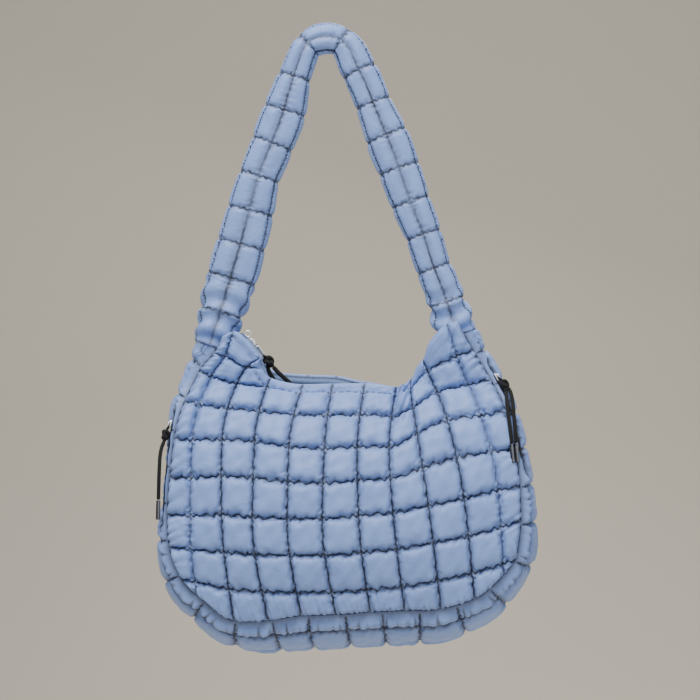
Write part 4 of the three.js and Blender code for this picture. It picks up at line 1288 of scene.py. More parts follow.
    def mask(self, cell: np.ndarray, v: np.ndarray) -> np.ndarray:
        """How dark the seams are, with the narrow rows' seams, the sewn edges and painted shade in the
        gathers' creases.
        """
        slim, edge_v, edge_u = self.place_in(cell, v)
        off_zip = self.zip_flat(cell, v)
        quilting = seam_mask(cell, v, QUILT_PITCH, 45 * MM)
        quilting = quilting * smoothstep(edge_v, 0, 0.1) * smoothstep(edge_u, 0, 0.1)
        row_seam = 0.9 * bell((edge_v - 1) * 20 * MM, 1.5 * MM) * off_zip
        sewn = 0.35 * bell(edge_v * 14 * MM, 1.2 * MM)
        # Painted shade in the troughs of the gathers.
        creases = np.where(slim, 0.5, 0.3) * smoothstep(-self.gathered(cell, v), 0.1, 0.8) * off_zip
        return np.maximum.reduce([quilting, creases, row_seam, sewn])

    def sheet(self, quilt: Quilt) -> Shell:
        """The gusset as a closed padded wall, its relief read off the quilt by its own cells.

        Args:
            quilt: The swollen cloth.

        Returns:
            The wall.
        """
        narrow = cell_stations(0, 1, self.per_narrow)
        last = GUSSET_ROWS - 1
        rows = np.concatenate([narrow, cell_stations(1, last, self.per_cell)[1:], last + narrow[1:]])
        cell, v = np.meshgrid(cell_stations(0, self.cells, self.per_cell), rows, indexing="ij")
        first, quads, triangles = woven(np.stack([cell, v], -1))
        cell, v = cell.ravel()[first], v.ravel()[first]
        relief = quilt.read(cell + 2, v + 1)
        slim, edge_v, edge_u = self.place_in(cell, v)
        hold = smoothstep(edge_v, 0, 0.4) * smoothstep(edge_u, 0, 0.5)
        cell2 = cell + relief[:, 0] * hold
        v2 = v + relief[:, 1] * hold * np.where(slim, 0.3, 1)
        across = np.interp(v2, range(len(GUSSET_SEAMS)), GUSSET_SEAMS)
        square = self.outwards(cell2 / self.cells)
        inside = np.clip(cell2, 0.1, self.cells - 0.1), np.clip(across, 0.02, 0.98)
        lean = smoothstep(edge_v, 0, 0.6)[:, None]
        normal = normals_of(self.middle, *inside, (0.1, 0.01), square)
        normal = unit(square * (1 - lean) + normal * lean)
        base = self.middle(cell2, across)
        rise = self.rise(cell, v, relief[:, 2], base)
        thin = 1.6 * WALL_HALF * (1 - smoothstep(edge_v, 0, 0.2))
        outer = self.clear_of_strap(base + normal * (WALL_HALF + rise - thin)[:, None])
        inner = self.clear_of_strap(base - normal * (WALL_HALF + 0.25 * np.maximum(rise, 0))[:, None])
        cloth = np.stack([cell, v], -1) * QUILT_PITCH
        return facing_out(padded_wall(Shell(outer, quads, triangles, cloth, self.mask(cell, v)), inner))

    def pocket_face(self, cell: np.ndarray) -> tuple[np.ndarray, np.ndarray, np.ndarray, np.ndarray]:
        """The outer face of the front narrow row, flat from its sewn edge to its first seam."""
        along = cell / self.cells
        square = self.outwards(along)
        edge = self.middle(cell, np.zeros_like(cell)) + square * WALL_HALF
        across = np.full_like(cell, GUSSET_SEAMS[1])
        normal = normals_of(self.middle, cell, across, (0.1, 0.004), square)
        over = self.middle(cell, across) + normal * WALL_HALF - edge
        heading = self.heading(along)
        face = turned_to(unit(np.cross(over, heading)), square)
        return edge, over, heading, face

    def build(self, quilt: Quilt) -> bpy.types.Object:
        """Makes the gusset."""
        piece = make_piece("quilted_gusset", self.sheet(quilt), Finish.NYLON, ["gusset"])
        return piece


# The strap


@dataclass
class Strap:
    """The one wide quilted strap: a flattened, padded tube from peak to peak."""

    spread: float = 277 * MM
    hook_to_base: float = 327 * MM
    width: float = 59 * MM
    depth: float = 30 * MM
    puff: float = 4 * MM
    fold: float = 2.3 * MM
    per_cell: int = 24
    seams_around: int = 6
    line_pitch: float = 25 * MM
    roundness: float = 0.8
    across: tuple[float, ...] = (
        -0.475, -0.445, -0.407, -0.369, -0.333, -0.301, -0.267, -0.216, -0.167, -0.129, -0.102, -0.06, 0.0,
        0.064, 0.112, 0.148, 0.189, 0.239, 0.292, 0.337, 0.381, 0.43, 0.47, 0.519, 0.56, 0.575,
    )  # fmt: skip
    down: tuple[float, ...] = (
        1.055, 0.982, 0.874, 0.766, 0.658, 0.55, 0.442, 0.335, 0.227, 0.119, 0.047, -0.03, -0.054,
        -0.05, -0.018, 0.047, 0.119, 0.227, 0.335, 0.442, 0.55, 0.658, 0.766, 0.874, 0.982, 1.02,
    )  # fmt: skip
    wide: tuple[float, ...] = (
        0.74, 0.84, 0.98, 1.0, 0.98, 0.92, 0.82, 0.86, 0.86, 0.72, 0.60, 0.56, 0.60,
        0.60, 0.64, 0.70, 0.70, 0.76, 0.86, 0.84, 0.78, 0.72, 0.70, 0.72, 0.84, 0.84,
    )  # fmt: skip
    deep: tuple[float, ...] = (
        1.05, 1.1, 1.05, 1.0, 0.95, 0.95, 0.95, 0.95, 0.95, 1.0, 1.0, 1.0, 1.0,
        1.0, 1.0, 1.0, 0.95, 0.95, 0.95, 0.95, 0.95, 0.95, 1.0, 1.05, 1.1, 1.05,
    )  # fmt: skip

    def __post_init__(self) -> None:
        """Traces the strap's line finely and measures it."""
        count = len(self.across)
        sideways, drop = np.array(self.across) * self.spread, np.array(self.down) * self.hook_to_base
        places = np.stack([sideways, np.zeros(count), -drop], 1)
        self.trace = catmull(places, (count - 1) * 60 + 1)
        run = distances(self.trace)
        self.share = run / run[-1]
        self.length = float(run[-1])
        self.cells = round(self.length / QUILT_PITCH)

    def line(self, along: np.ndarray) -> tuple[np.ndarray, np.ndarray]:
        """Points on the strap's line at shares of its length, and its unit headings there."""
        at = np.clip(along, 0, 1)
        point = np.stack([np.interp(at, self.share, self.trace[:, k]) for k in range(3)], -1)
        slope = np.gradient(self.trace, axis=0)
        heading = np.stack([np.interp(at, self.share, slope[:, k]) for k in range(3)], -1)
        return point, unit(heading)

    def size(self, table: tuple[float, ...], along: np.ndarray) -> np.ndarray:
        """A column of the strap's table at shares of its length."""
        u = np.interp(np.clip(along, 0, 1), self.share, np.linspace(0, 1, len(self.share)))
        return monotone(np.linspace(0, 1, len(table)), np.array(table), u)

    def surface(self, cell: np.ndarray, seam: np.ndarray, swell: np.ndarray) -> np.ndarray:
        """A place on the strap: an oval, squared off by a power below 1 and grown by the swelling."""
        along = cell / self.cells
        centre, heading = self.line(along)
        sideways = np.stack([-heading[..., 2], np.zeros(np.shape(cell)), heading[..., 0]], -1)
        angle = np.pi / 6 + seam * 2 * np.pi / self.seams_around
        c, s = np.cos(angle), np.sin(angle)
        wide = self.width * self.size(self.wide, along) / 2 - self.puff + swell
        deep = self.depth * self.size(self.deep, along) / 2 - self.puff + swell
        across = np.sign(c) * np.abs(c) ** self.roundness * wide
        thick = np.sign(s) * np.abs(s) ** self.roundness * deep
        return centre + sideways * across[..., None] + thick[..., None] * ALONG_Y

    def crumple(self, cell: np.ndarray, seam: np.ndarray) -> np.ndarray:
        """Slanting folds where the strap bends into the bag: sharpened sines that fade out in two cells."""
        near = 1 - smoothstep(np.minimum(cell, 1.4 * (self.cells - cell)), 1.0, 2.6)
        start = smoothstep(np.minimum(cell, self.cells - cell), 0, 0.3)
        wave = np.sin(2 * np.pi * (1.7 * cell + 0.55 * np.sin(np.pi * seam / 3 + 0.6)))
        return self.fold * near * start * (np.abs(wave) ** 0.7 * np.sign(wave) - 0.35)

    def middle_line(self, seam: np.ndarray) -> np.ndarray:
        """Whether the nearest seam along the strap is the middle one of a face."""
        return np.abs((seam + 0.5) % 3 - 1.5) < 0.5

    def puffed(
        self, quilt: Quilt, cell: np.ndarray, seam: np.ndarray
    ) -> tuple[np.ndarray, np.ndarray, np.ndarray]:
        """Where a place on the flat strap lies once it is padded.

        The lines along the strap are shallower than the rings round it, the middle one of a face least so.
        """
        relief = quilt.read(cell, seam)
        shallow = np.where(self.middle_line(seam), 0.15, 0.6) * smoothstep(off_seam(cell), 0, 0.3)
        shallow = shallow * (1 - smoothstep(off_seam(seam), 0, 0.3))
        height = relief[..., 2] + (0.85 - relief[..., 2]) * shallow
        inset = smoothstep(np.minimum(cell, self.cells - cell), 0, 0.5)
        swell = self.puff * (0.5 + 0.55 * np.maximum(height, -0.3) * inset)
        swell = swell * (1 + 0.2 * drift(np.stack([cell, seam, 0 * cell], -1) * QUILT_PITCH, 90 * MM))
        beside_rings, beside_lines = ruffles(cell, seam, QUILT_PITCH, self.line_pitch, 5.5 * MM)
        swell = swell + (0.7 * beside_lines + 1.1 * beside_rings) * MM * inset + self.crumple(cell, seam)
        return cell + relief[..., 0] * inset, seam + 0.12 * relief[..., 1] * inset, swell

    def sheet(self, quilt: Quilt) -> Shell:
        """The strap as one closed tube with flat ends.

        Args:
            quilt: The swollen cloth.

        Returns:
            The tube.
        """
        around = cell_stations(0, self.seams_around, 15, 0.05)[:-1]
        cells = cell_stations(0, self.cells, self.per_cell)
        cell, seam = np.meshgrid(cells, around, indexing="ij")
        rings = self.surface(*self.puffed(quilt, cell, seam))
        lines = seam_mask(cell, seam, NO_SEAMS, self.line_pitch, 0.85 * MM)
        lines = lines * np.where(self.middle_line(seam), 0.55, 0.35)
        uneven = 0.75 + 0.25 * np.sin(9 * seam + 5 * np.round(cell))
        mask = np.maximum(seam_mask(cell, seam, QUILT_PITCH, NO_SEAMS, 1.6 * MM) * uneven, lines).ravel()
        cloth = np.stack([cell, seam * 0.6], -1).reshape(-1, 2) * QUILT_PITCH
        shell = capped(rings, rings[[0, -1]].mean(axis=1))
        shell.cloth = np.concatenate([cloth, cloth[:2]])
        shell.seam = np.concatenate([mask, [0, 0]])
        return facing_out(shell)

    def build(self, quilt: Quilt) -> bpy.types.Object:
        """Makes the strap."""
        piece = make_piece("quilted_strap", self.sheet(quilt), Finish.NYLON, ["strap"])
        return piece


# Small parts


def ball(
    centre: np.ndarray, axes: np.ndarray, half: Sequence[float], power: float = 1.0, fine: int = 16
) -> Shell:
    """A rounded block: a ball whose sines and cosines are taken to a power.

    Args:
        centre: Its middle.
        axes: Its own x, y and z as rows of unit vectors.
        half: Half its sizes along them.
        power: How round it is, 1 for a ball and near 0 for a brick.
        fine: How many steps it has from pole to pole.

    Returns:
        The closed shape.
    """
    down, round_it = np.linspace(0, np.pi, fine + 1), np.linspace(0, 2 * np.pi, 2 * fine + 1)
    polar, turn = np.meshgrid(down, round_it, indexing="ij")

    def bend(w: np.ndarray) -> np.ndarray:
        """The power of a sine or cosine, with its sign."""
        return np.sign(w) * np.abs(w) ** power

    sin_p, cos_p = np.sin(polar), np.cos(polar)
    sin_p[[0, -1]] = 0
    local = np.stack([bend(sin_p) * bend(np.cos(turn)), bend(sin_p) * bend(np.sin(turn)), bend(cos_p)], -1)
    points = centre + (local * np.asarray(half)) @ axes
    keys = np.stack([polar, np.where(sin_p == 0, 0, turn % (2 * np.pi - 1e-9))], -1)
    first, quads, triangles = woven(keys)
    return facing_out(Shell(points.reshape(-1, 3)[first], quads, triangles))


def hoop(path: np.ndarray, radius: float, normal: np.ndarray, around: int = 12) -> Shell:
    """A closed round wire along a flat closed path, whose last point isn't its first again."""
    heading = unit(np.roll(path, -1, axis=0) - np.roll(path, 1, axis=0))
    across = unit(np.cross(heading, normal))
    ring = circles(across, np.broadcast_to(normal, path.shape), around)
    return looped(path[:, None] + radius * ring)


def repeated(unit_shell: Shell, places: np.ndarray, x: np.ndarray, y: np.ndarray, z: np.ndarray) -> Shell:
    """Copies of one small closed shape, each at a place with its own directions."""
    local = unit_shell.vertices
    points = places[:, None] + local[None, :, :1] * x[:, None] + local[None, :, 1:2] * y[:, None]
    points = points + local[None, :, 2:] * z[:, None]
    shift = (np.arange(len(places)) * len(local))[:, None, None]
    quads = (unit_shell.quads[None] + shift).reshape(-1, 4)
    triangles = (unit_shell.triangles[None] + shift).reshape(-1, 3)
    return Shell(points.reshape(-1, 3), quads, triangles)


def grain_of_thread(length: float, thick: float) -> Shell:
    """One stitch: a short thread along x with tapered ends, of six sides."""
    at = np.array([-0.5, -0.38, 0.0, 0.38, 0.5]) * length
    path = np.stack([at, np.zeros(5), np.zeros(5)], 1)
    path[:, 2] = thick * np.array([-0.9, 0.0, 0.25, 0.0, -0.9])
    radii = thick * np.array([0.45, 0.9, 1.0, 0.9, 0.45])
    return facing_out(tube(path, radii, 6, ALONG_Y))


def stitches(
    points: np.ndarray, headings: np.ndarray, normals: np.ndarray, length: float, thick: float
) -> Shell:
    """A row of stitches that lie along headings on a surface."""
    side = unit(np.cross(normals, headings))
    up = unit(np.cross(headings, side))
    return repeated(grain_of_thread(length, thick), points, unit(headings), side, up)


def strip(corners: np.ndarray) -> Shell:
    """A closed strip from rings of corners, (n, corners, 3), with flat ends."""
    return facing_out(capped(corners, corners[[0, -1]].mean(axis=1)))


def mapped(shell: Shell, path: np.ndarray, around: int) -> Shell:
    """Gives a tube its map, metres along it and turns round it, and a line of painted highlight down one side
    as its mask.
    """
    run = distances(path)
    turn = np.abs(2 * np.arange(around) / around - 1)
    cloth = np.stack([np.repeat(run, around), np.tile(turn, len(path))], 1)
    shell.cloth = np.concatenate([cloth, [[0, 0], [run[-1], 0]]])
    # Painted highlight: a pale line along one side, which only the cord tips' finish shows.
    shell.seam = np.concatenate([np.tile(bell(turn - 0.62, 0.14), len(path)), [0, 0]])
    return shell


@dataclass
class Cord:
    """A free black cord tail, round and plaited, that hangs from its knot."""

    name: str
    stands_for: str
    route: tuple[tuple[float, float, float], ...]
    diameter: float
    far_end: str = "bare"
    around: int = 20

    def line(self) -> np.ndarray:
        """The cord's centreline: a smooth curve through the route, at even steps of half a millimetre."""
        smooth = catmull(np.array(self.route) * MM, 600)
        return even_path(smooth, max(40, round(path_length(smooth) / (0.5 * MM))))

    def build(self, tips: Sequence[bpy.types.Object] = ()) -> bpy.types.Object:
        """Args:
            tips: The pieces on its far end; not used.

        Returns:
            The cord.
        """
        path = self.line()
        length = path_length(path)
        at = np.linspace(0, length, len(path))
        rounding = np.minimum(1, np.sqrt(np.clip(np.minimum(at, length - at) / (0.35 * self.diameter), 0, 1)))
        turn = np.arange(self.around) * 2 * np.pi / self.around
        plait = np.maximum(np.sin(4 * turn + at[:, None] * 2200), np.sin(-4 * turn + at[:, None] * 2200))
        radius = self.diameter / 2 * (0.97 + 0.03 * plait) * np.maximum(rounding, 0.3)[:, None]
        shell = mapped(facing_out(tube(path, radius, self.around, ALONG_Y)), path, self.around)
        piece = make_piece(self.name, shell, Finish.CORD, [self.stands_for])
        points = path[np.linspace(0, len(path) - 1, 32).astype(int)]
        tuple(path[0])
        path_length(points)
        return piece


@dataclass
class Tip:
    """The dark sleeve shrunk on a cord's end, with a crimped neck and a painted highlight along one side."""

    name: str
    stands_for: str
    cord: Cord
    length: float = 22 * MM
    diameter: float = 5 * MM
    gap: float = 0.4 * MM
    around: int = 32

    def build(self) -> bpy.types.Object:
        """Makes the tip in line with the cord's last stretch."""
        route = np.array(self.cord.route) * MM
        heading = unit(route[-1] - route[-2])
        start = route[-1] + heading * self.gap
        share = np.array([0, 0.01, 0.03, 0.1, 0.13, 0.16, 0.5, 0.93, 0.975, 0.995, 1.0])
        wide = np.array([0.7, 0.86, 0.93, 0.95, 0.86, 0.97, 1.0, 1.0, 0.93, 0.75, 0.4])
        path = start + heading * (share * self.length)[:, None]
        shell = facing_out(tube(path, wide * self.diameter / 2, self.around, ALONG_Y))
        finished = mapped(shell, path, self.around)
        return make_piece(self.name, finished, Finish.TIP, [self.stands_for])


# The doubled cord's half width and its reach towards the eye, from the eye down to the knot.
LOOP_SHAPE = ((1.0, 0.0), (1.3, 0.35), (1.25, 0.7), (0.85, 0.95), (0.0, 1.08))


@dataclass
class Knot:
    """A small tied knot and the doubled cord that loops from it through the metal. Places are in mm."""

    name: str
    stands_for: str
    centre: tuple[float, float, float]
    end: tuple[float, float, float]
    eye: tuple[float, float, float]
    cord: float
    loop_cord: float
    tails: tuple[tuple[float, float, float], ...]
    around: int = 14

    def __post_init__(self) -> None:
        """Works out its places in metres and its own directions."""
        self.middle, self.foot, self.hole = (np.array(p) * MM for p in (self.centre, self.end, self.eye))
        self.axis = unit(self.foot - self.middle)
        self.half = np.linalg.norm(self.foot - self.middle)
        self.side = unit(np.cross(self.axis, ALONG_Y))
        self.out = np.cross(self.side, self.axis)

    def coil(self) -> Shell:
        """The knot: a three-lobed closed coil about the axis.

        The coil's radius is a middle one plus a cosine of three times the turn; its height is the sine.

        Returns:
            The coil.
        """
        t = np.linspace(0, 2 * np.pi, 180, endpoint=False)
        radius = self.cord * (0.52 + 0.26 * np.cos(3 * t))
        height = (self.half - 0.5 * self.cord) * 0.82 * np.sin(3 * t)
        beside = self.side * (radius * np.cos(2 * t))[:, None] + self.out * (radius * np.sin(2 * t))[:, None]
        line = self.middle + beside + self.axis * height[:, None]
        heading = unit(np.roll(line, -1, axis=0) - np.roll(line, 1, axis=0))
        across = unit(np.cross(heading, unit(line - self.middle)))
        wire = 0.44 * self.cord * circles(across, np.cross(across, heading), self.around)
        shell = looped(line[:, None] + wire)
        run = np.arange(len(line)) * np.linalg.norm(line[1] - line[0])
        turn = np.abs(2 * np.arange(self.around) / self.around - 1)
        shell.cloth = np.stack([np.repeat(run, self.around), np.tile(turn, len(line))], 1)
        shell.seam = np.zeros(len(shell.vertices))
        return shell

    def bent_tube(
        self, places: list[np.ndarray], steps: tuple[int, int], radius: float, beside: np.ndarray
    ) -> Shell:
        """A smooth tube through places, its steps before and after it is made even."""
        path = even_path(catmull(np.array(places), steps[0]), steps[1])
        shell = facing_out(tube(path, np.full(len(path), radius), self.around, beside))
        return mapped(shell, path, self.around)

    def build(self) -> bpy.types.Object:
        """Makes the knot, its loop as one bent tube, and a stub to each tail.

        Returns:
            The piece.
        """
        top = self.middle - self.axis * (self.half - 0.4 * self.cord)
        reach = self.hole - top
        gape = 0.55 * self.loop_cord
        there = [top + reach * h + self.out * (gape * w) for w, h in LOOP_SHAPE]
        back = [top + reach * h - self.out * (gape * w) for w, h in LOOP_SHAPE[-2::-1]]
        beside = unit(np.cross(reach, self.out))
        parts = [self.coil(), self.bent_tube(there + back, (200, 70), self.loop_cord / 2, beside)]
        for tail in self.tails:
            start = np.array(tail) * MM
            places = [self.middle, (self.middle + self.foot + start) / 3, start]
            parts.append(self.bent_tube(places, (60, 20), 0.49 * self.cord, self.out))
        whole = strung(parts)
        whole.seam[:] = 0
        return make_piece(self.name, whole, Finish.CORD, [self.stands_for])


def arch(
    centre: np.ndarray, along: np.ndarray, up: np.ndarray, sizes: tuple[float, float, float], steps: int
) -> Shell:
    """The wire bridge on a slider, a half oval that stands on its plate."""
    half, foot, rise = sizes
    t = np.linspace(0, np.pi, steps)
    line = centre + along * (-half * np.cos(t))[:, None] + up * (foot + rise * np.sin(t))[:, None]
    return facing_out(tube(line, np.full(steps, 0.8 * MM), 12, np.cross(along, up)))


@dataclass
class MouthZip:
    """The open mouth's zip: a tape inside each rim with its teeth, and the slider with its wire puller."""

    front: Panel
    back: Panel
    tape_width: float = 12 * MM
    tape_thickness: float = 1.4 * MM
    tape_gap: float = 1.9 * MM
    tooth: float = 1.6 * MM
    tooth_pitch: float = 2.1 * MM
    first: float = 1.4
    last: float = 9.0
    shy: float = 0.25 * MM
    stand: Column = Column((1.4, 2, 3, 9), (3.5, 2, -1, -1))
    run: tuple[float, float, float] = (3.7, 0.6, -4.6)
    slider_at: tuple[float, float, float] = (-82.2, -14.9, -342.5)
    ring_at: tuple[float, float, float] = (-85.6, -15.9, -331.5)
    puller_at: tuple[float, float, float] = (-71.6, -13.6, -351.7)

    def tape(self, panel: Panel) -> tuple[Shell, Shell]:
        """A tape of four corners and its row of teeth, along one rim.

        Args:
            panel: The panel whose rim it follows.

        Returns:
            The tape and the teeth.
        """
        seams = np.linspace(self.first, self.last, 260)
        origin, down = panel.rim_frame(seams, self.tape_width)
        inwards = -panel.side.value * ALONG_Y
        top = -self.stand(seams) * MM
        inset = WALL_HALF + self.tape_gap
        flat = inset + self.tape_thickness

        def corner(depth: np.ndarray, away: float) -> np.ndarray:
            """Points at a depth below the rim and a distance inwards from it."""
            return origin + down * depth[:, None] + inwards * away

        profile = [
            corner(top + self.tooth, inset + self.shy),
            corner(top + self.tape_width, inset + self.shy),
            corner(top + self.tape_width, flat - self.shy),
            corner(top + self.tooth, flat - self.shy),
        ]
        tape = strip(np.stack(profile, 1))
        line = corner(top + self.tooth, flat + 0.15 * self.tooth)
        line = even_path(line, round(path_length(line) / self.tooth_pitch))
        depth = even_path(corner(top + self.tooth + 1 * MM, flat), len(line)) - line
        heading = unit(np.gradient(line, axis=0))
        z = unit(np.broadcast_to(inwards, line.shape))
        y = unit(np.cross(z, heading))
        tooth = ball(np.zeros(3), np.eye(3), (0.62 * MM, self.tooth * 0.95, self.tooth * 0.62), 0.7, 4)
        teeth = repeated(tooth, line, heading, y * np.sign(np.sum(y * depth, 1, keepdims=True) + 1e-12), z)
        return tape, facing_out(teeth)

    def slider(self) -> Shell:
        """The slider: two rounded plates, a post between them and an arched bridge on top."""
        centre = np.array(self.slider_at) * MM
        along = unit(np.array(self.run))
        up = turned_to(unit(np.cross(ALONG_Y, along)), np.array([0.0, 0.0, 1.0]))
        side = np.cross(along, up)
        axes = np.stack([along, up, side])
        length, width = 12 * MM, 7 * MM
        lower = (length / 2, 0.75 * MM, width / 2)
        upper = (length / 2 - 0.4 * MM, 0.7 * MM, width / 2 - 0.3 * MM)
        low = ball(centre + up * 0.6 * MM, axes, lower, 0.45)
        high = ball(centre + up * 2.9 * MM, axes, upper, 0.45)
        post = ball(centre + up * 1.8 * MM + along * 3.6 * MM, axes, (1.4 * MM, 1.5 * MM, 1.1 * MM), 0.6)
        return strung([low, high, post, arch(centre, along, up, (3.6 * MM, 3.0 * MM, 1.9 * MM), 24)])

    def pull(self) -> tuple[Shell, Shell]:
        """The ring behind the slider and the long wire loop in front of it."""
        along = unit(np.array(self.run))
        normal = unit(ALONG_Y - along * np.dot(along, ALONG_Y))
        across = np.cross(normal, along)
        t = np.linspace(0, 2 * np.pi, 72, endpoint=False)
        circle = along * np.cos(t)[:, None] + across * np.sin(t)[:, None]
        ring = np.array(self.ring_at) * MM + 3.4 * MM * circle
        lengthwise = 2.4 * MM * np.cos(t) + 4.5 * MM * np.clip(3 * np.cos(t), -1, 1)
        sideways = across * (2.3 * MM * np.sin(t))[:, None]
        wire = np.array(self.puller_at) * MM + along * lengthwise[:, None] + sideways
        return hoop(ring, 0.9 * MM, normal), hoop(wire, 0.7 * MM, normal)

    def build(self) -> None:
        """Makes both tapes with their teeth, the slider, the ring and the puller."""
        for panel in (self.front, self.back):
            side = panel.side.name.lower()
            tape, teeth = self.tape(panel)
            make_piece(f"{side}_mouth_tape", tape, Finish.ZIP_TAPE, [f"{side}_zip_tape"])
            make_piece(f"{side}_mouth_teeth", teeth, Finish.TEETH, [])
        ring, wire = self.pull()
        make_piece("mouth_slider", self.slider(), Finish.SILVER, ["zip_slider"])
        make_piece("mouth_ring", ring, Finish.SILVER, ["zip_ring"])
        make_piece("mouth_puller", wire, Finish.SILVER, ["zip_puller"])


@dataclass
class PocketZip:
    """A side pocket's short black zip, sewn flat on the gusset's front narrow row, with its slider."""

    gusset: Gusset
    side: str
    first: float
    last: float
    gap: float = 0.4 * MM
    thickness: float = 1.4 * MM
    tooth_pitch: float = 1.9 * MM
    rounding: float = 4 * MM
    shy: float = 0.2 * MM
    centre: float = 0.42

    def cell(self, cells: np.ndarray) -> np.ndarray:
        """Cells from this side's end of the gusset as cells from its left end."""
        return cells if self.side == "left" else self.gusset.cells - cells

    def tape(self) -> Shell:
        """A band that narrows to a round at both ends, and the toothed ridge along its middle.

        Returns:
            The zip.
        """
        cells = np.linspace(self.first, self.last, 90)
        edge, over, heading, face = self.gusset.pocket_face(self.cell(cells))
        to_end = np.minimum(cells - self.first, self.last - cells) * QUILT_PITCH
        share_of_round = np.clip(to_end / self.rounding, 0.02, 1)
        narrow = np.sqrt(share_of_round * (2 - share_of_round))

        def at(share: float, lift: float) -> np.ndarray:
            """Points at a share of the half width from the middle, and a lift off the face."""
            return edge + over * (self.centre + 0.3 * share * narrow)[:, None] + face * lift

        low, high = self.gap + self.shy, self.thickness * 0.75
        band = strip(np.stack([at(-1, low), at(1, low), at(1, high), at(-1, high)], 1))
        middle = at(0, self.thickness * 0.8)[6:-6]
        middle = even_path(middle, round(path_length(middle) / self.tooth_pitch))
        nearest = np.linspace(6, len(cells) - 7, len(middle)).astype(int)
        x = unit(np.gradient(middle, axis=0))
        y = unit(over[nearest] - x * np.sum(over[nearest] * x, 1, keepdims=True))
        z = np.cross(x, y)
        z = z * np.sign(np.sum(z * face[nearest], 1, keepdims=True))
        tooth = ball(np.zeros(3), np.eye(3), (0.6 * MM, 1.7 * MM, 0.75 * MM), 0.7, 4)
        return band.joined(repeated(tooth, middle, x, y, z))

    def slider(self) -> Shell:
        """The slider: a rounded plate with an arched bridge on top."""
        edge, over, heading, face = self.gusset.pocket_face(self.cell(np.array([self.first + 0.12])))
        place = edge[0] + self.centre * over[0] + face[0] * (self.gap + self.thickness)
        along = heading[0]
        up = unit(face[0] - along * np.dot(face[0], along))
        axes = np.stack([along, up, np.cross(along, up)])
        plate = ball(place + up * 1.0 * MM, axes, (5 * MM, 0.9 * MM, 2.6 * MM), 0.5)
        return plate.joined(arch(place, along, up, (3.0 * MM, 1.6 * MM, 2.3 * MM), 20))

    def build(self) -> None:
        """Makes the zip and its slider."""
        node = f"{self.side}_pocket_zip"
        make_piece(f"{self.side}_side_zip", self.tape(), Finish.BLACK_ZIP, [node])
        slider = [f"{self.side}_pocket_slider"]
        make_piece(f"{self.side}_side_slider", self.slider(), Finish.SILVER, slider)


@dataclass
class Sewing:
    """The stitch rows that show: under both rims and along the strap's seams."""

    panels: tuple[Panel, ...]
    strap: Strap
    quilt: Quilt
    rim_pitch: float = 4.6 * MM
    rim_stitch: float = 2.9 * MM
    strap_pitch: float = 3.6 * MM
    thick: float = 0.42 * MM
    rim_from: float = 2.6
    rim_to: float = 8.7
    off_line: float = 0.055

    def rim_row(self, panel: Panel) -> Shell:
        """The dashes a facing's width below one rim.

        Args:
            panel: The panel whose rim it is.

        Returns:
            The stitches.
        """

        def under_rim(seam: np.ndarray) -> np.ndarray:
            """Points on the panel's middle, a facing's width below its rim."""
            return panel.middle(seam, panel.rim(seam) + panel.facing)

        seam = np.linspace(self.rim_from, self.rim_to, 500)
        line = under_rim(seam)
        count = round(path_length(line) / self.rim_pitch)
        run = distances(line)
        at = np.interp(np.linspace(0, run[-1], count), run, seam)
        outwards = panel.side.value * ALONG_Y
        normal = normals_of(panel.middle, at, panel.rim(at) + panel.facing, (0.05, 0.05), outwards)
        points = under_rim(at) + normal * (WALL_HALF + 0.35 * MM)
        heading = under_rim(at + 0.03) - under_rim(at - 0.03)
        return stitches(points, heading, normal, self.rim_stitch, self.thick)

    def strap_rows(self) -> Shell:
        """Two rows of small slanting stitches beside each of the strap's four outer seams.

        Returns:
            The stitches.
        """
        count = round(self.strap.length / self.strap_pitch)
        cell = np.linspace(0.5, self.strap.cells - 0.5, count)
        centre = self.strap.line(cell / self.strap.cells)[0]

        def place(c: np.ndarray, a: np.ndarray) -> np.ndarray:
            """Points on the padded strap."""
            return self.strap.surface(*self.strap.puffed(self.quilt, c, a))

        rows = []
        for seam in (0, 2, 3, 5):
            for side in (-1, 1):
                around = np.full(count, seam + self.off_line * side)
                point = place(cell, around)
                ahead = place(cell + 0.03, around + 0.02 * side) - point
                aside = place(cell, around + 0.02) - point
                normal = turned_to(unit(np.cross(ahead, aside)), point - centre)
                rows.append(stitches(point + 0.1 * MM * normal, ahead, normal, 2.4 * MM, 0.4 * MM))
        return strung(rows)

    def build(self) -> None:
        """Makes the stitches as one piece for each place."""
        for panel in self.panels:
            name = f"{panel.side.name.lower()}_rim_stitches"
            make_piece(name, self.rim_row(panel), Finish.THREAD, [])
        make_piece("strap_stitches", self.strap_rows(), Finish.THREAD, [])


MOUTH_LONG = (
    (-56.9, -10.2, -369.4), (-51, -9, -376), (-44, -7.2, -382.5), (-37, -5.6, -389), (-31, -4.6, -396.5),
    (-27, -4.1, -406), (-25, -3.8, -418), (-24, -3.5, -431), (-23.5, -3.2, -444),
)  # fmt: skip
MOUTH_SHORT = (
    (-63.6, -8.2, -370.9), (-60, -7, -378.5), (-55.5, -6, -386), (-52.5, -5, -395), (-51.5, -4, -405),
    (-51, -3.5, -416),
)  # fmt: skip
LEFT_TAIL = (
    (-177.1, -54.7, -455.9), (-179.3, -58.6, -463), (-180.4, -62.5, -472), (-180.6, -65.4, -483),
    (-180.8, -67, -496), (-181, -67.6, -510), (-181.2, -67.9, -522),
)  # fmt: skip
RIGHT_INNER = (
    (213.6, -38.6, -398.4), (213.8, -47, -407), (214.3, -52.4, -415.5), (215.2, -56.6, -425),
    (216.5, -60.4, -436), (217.6, -63.2, -448), (218.3, -64.8, -458),
)  # fmt: skip
RIGHT_OUTER = (
    (217.9, -37.2, -396.6), (220, -42.6, -405), (221, -47.8, -413.5), (221.6, -52.6, -423),
    (222.2, -57, -434), (223, -60.8, -446), (223.6, -63.2, -457),
)  # fmt: skip


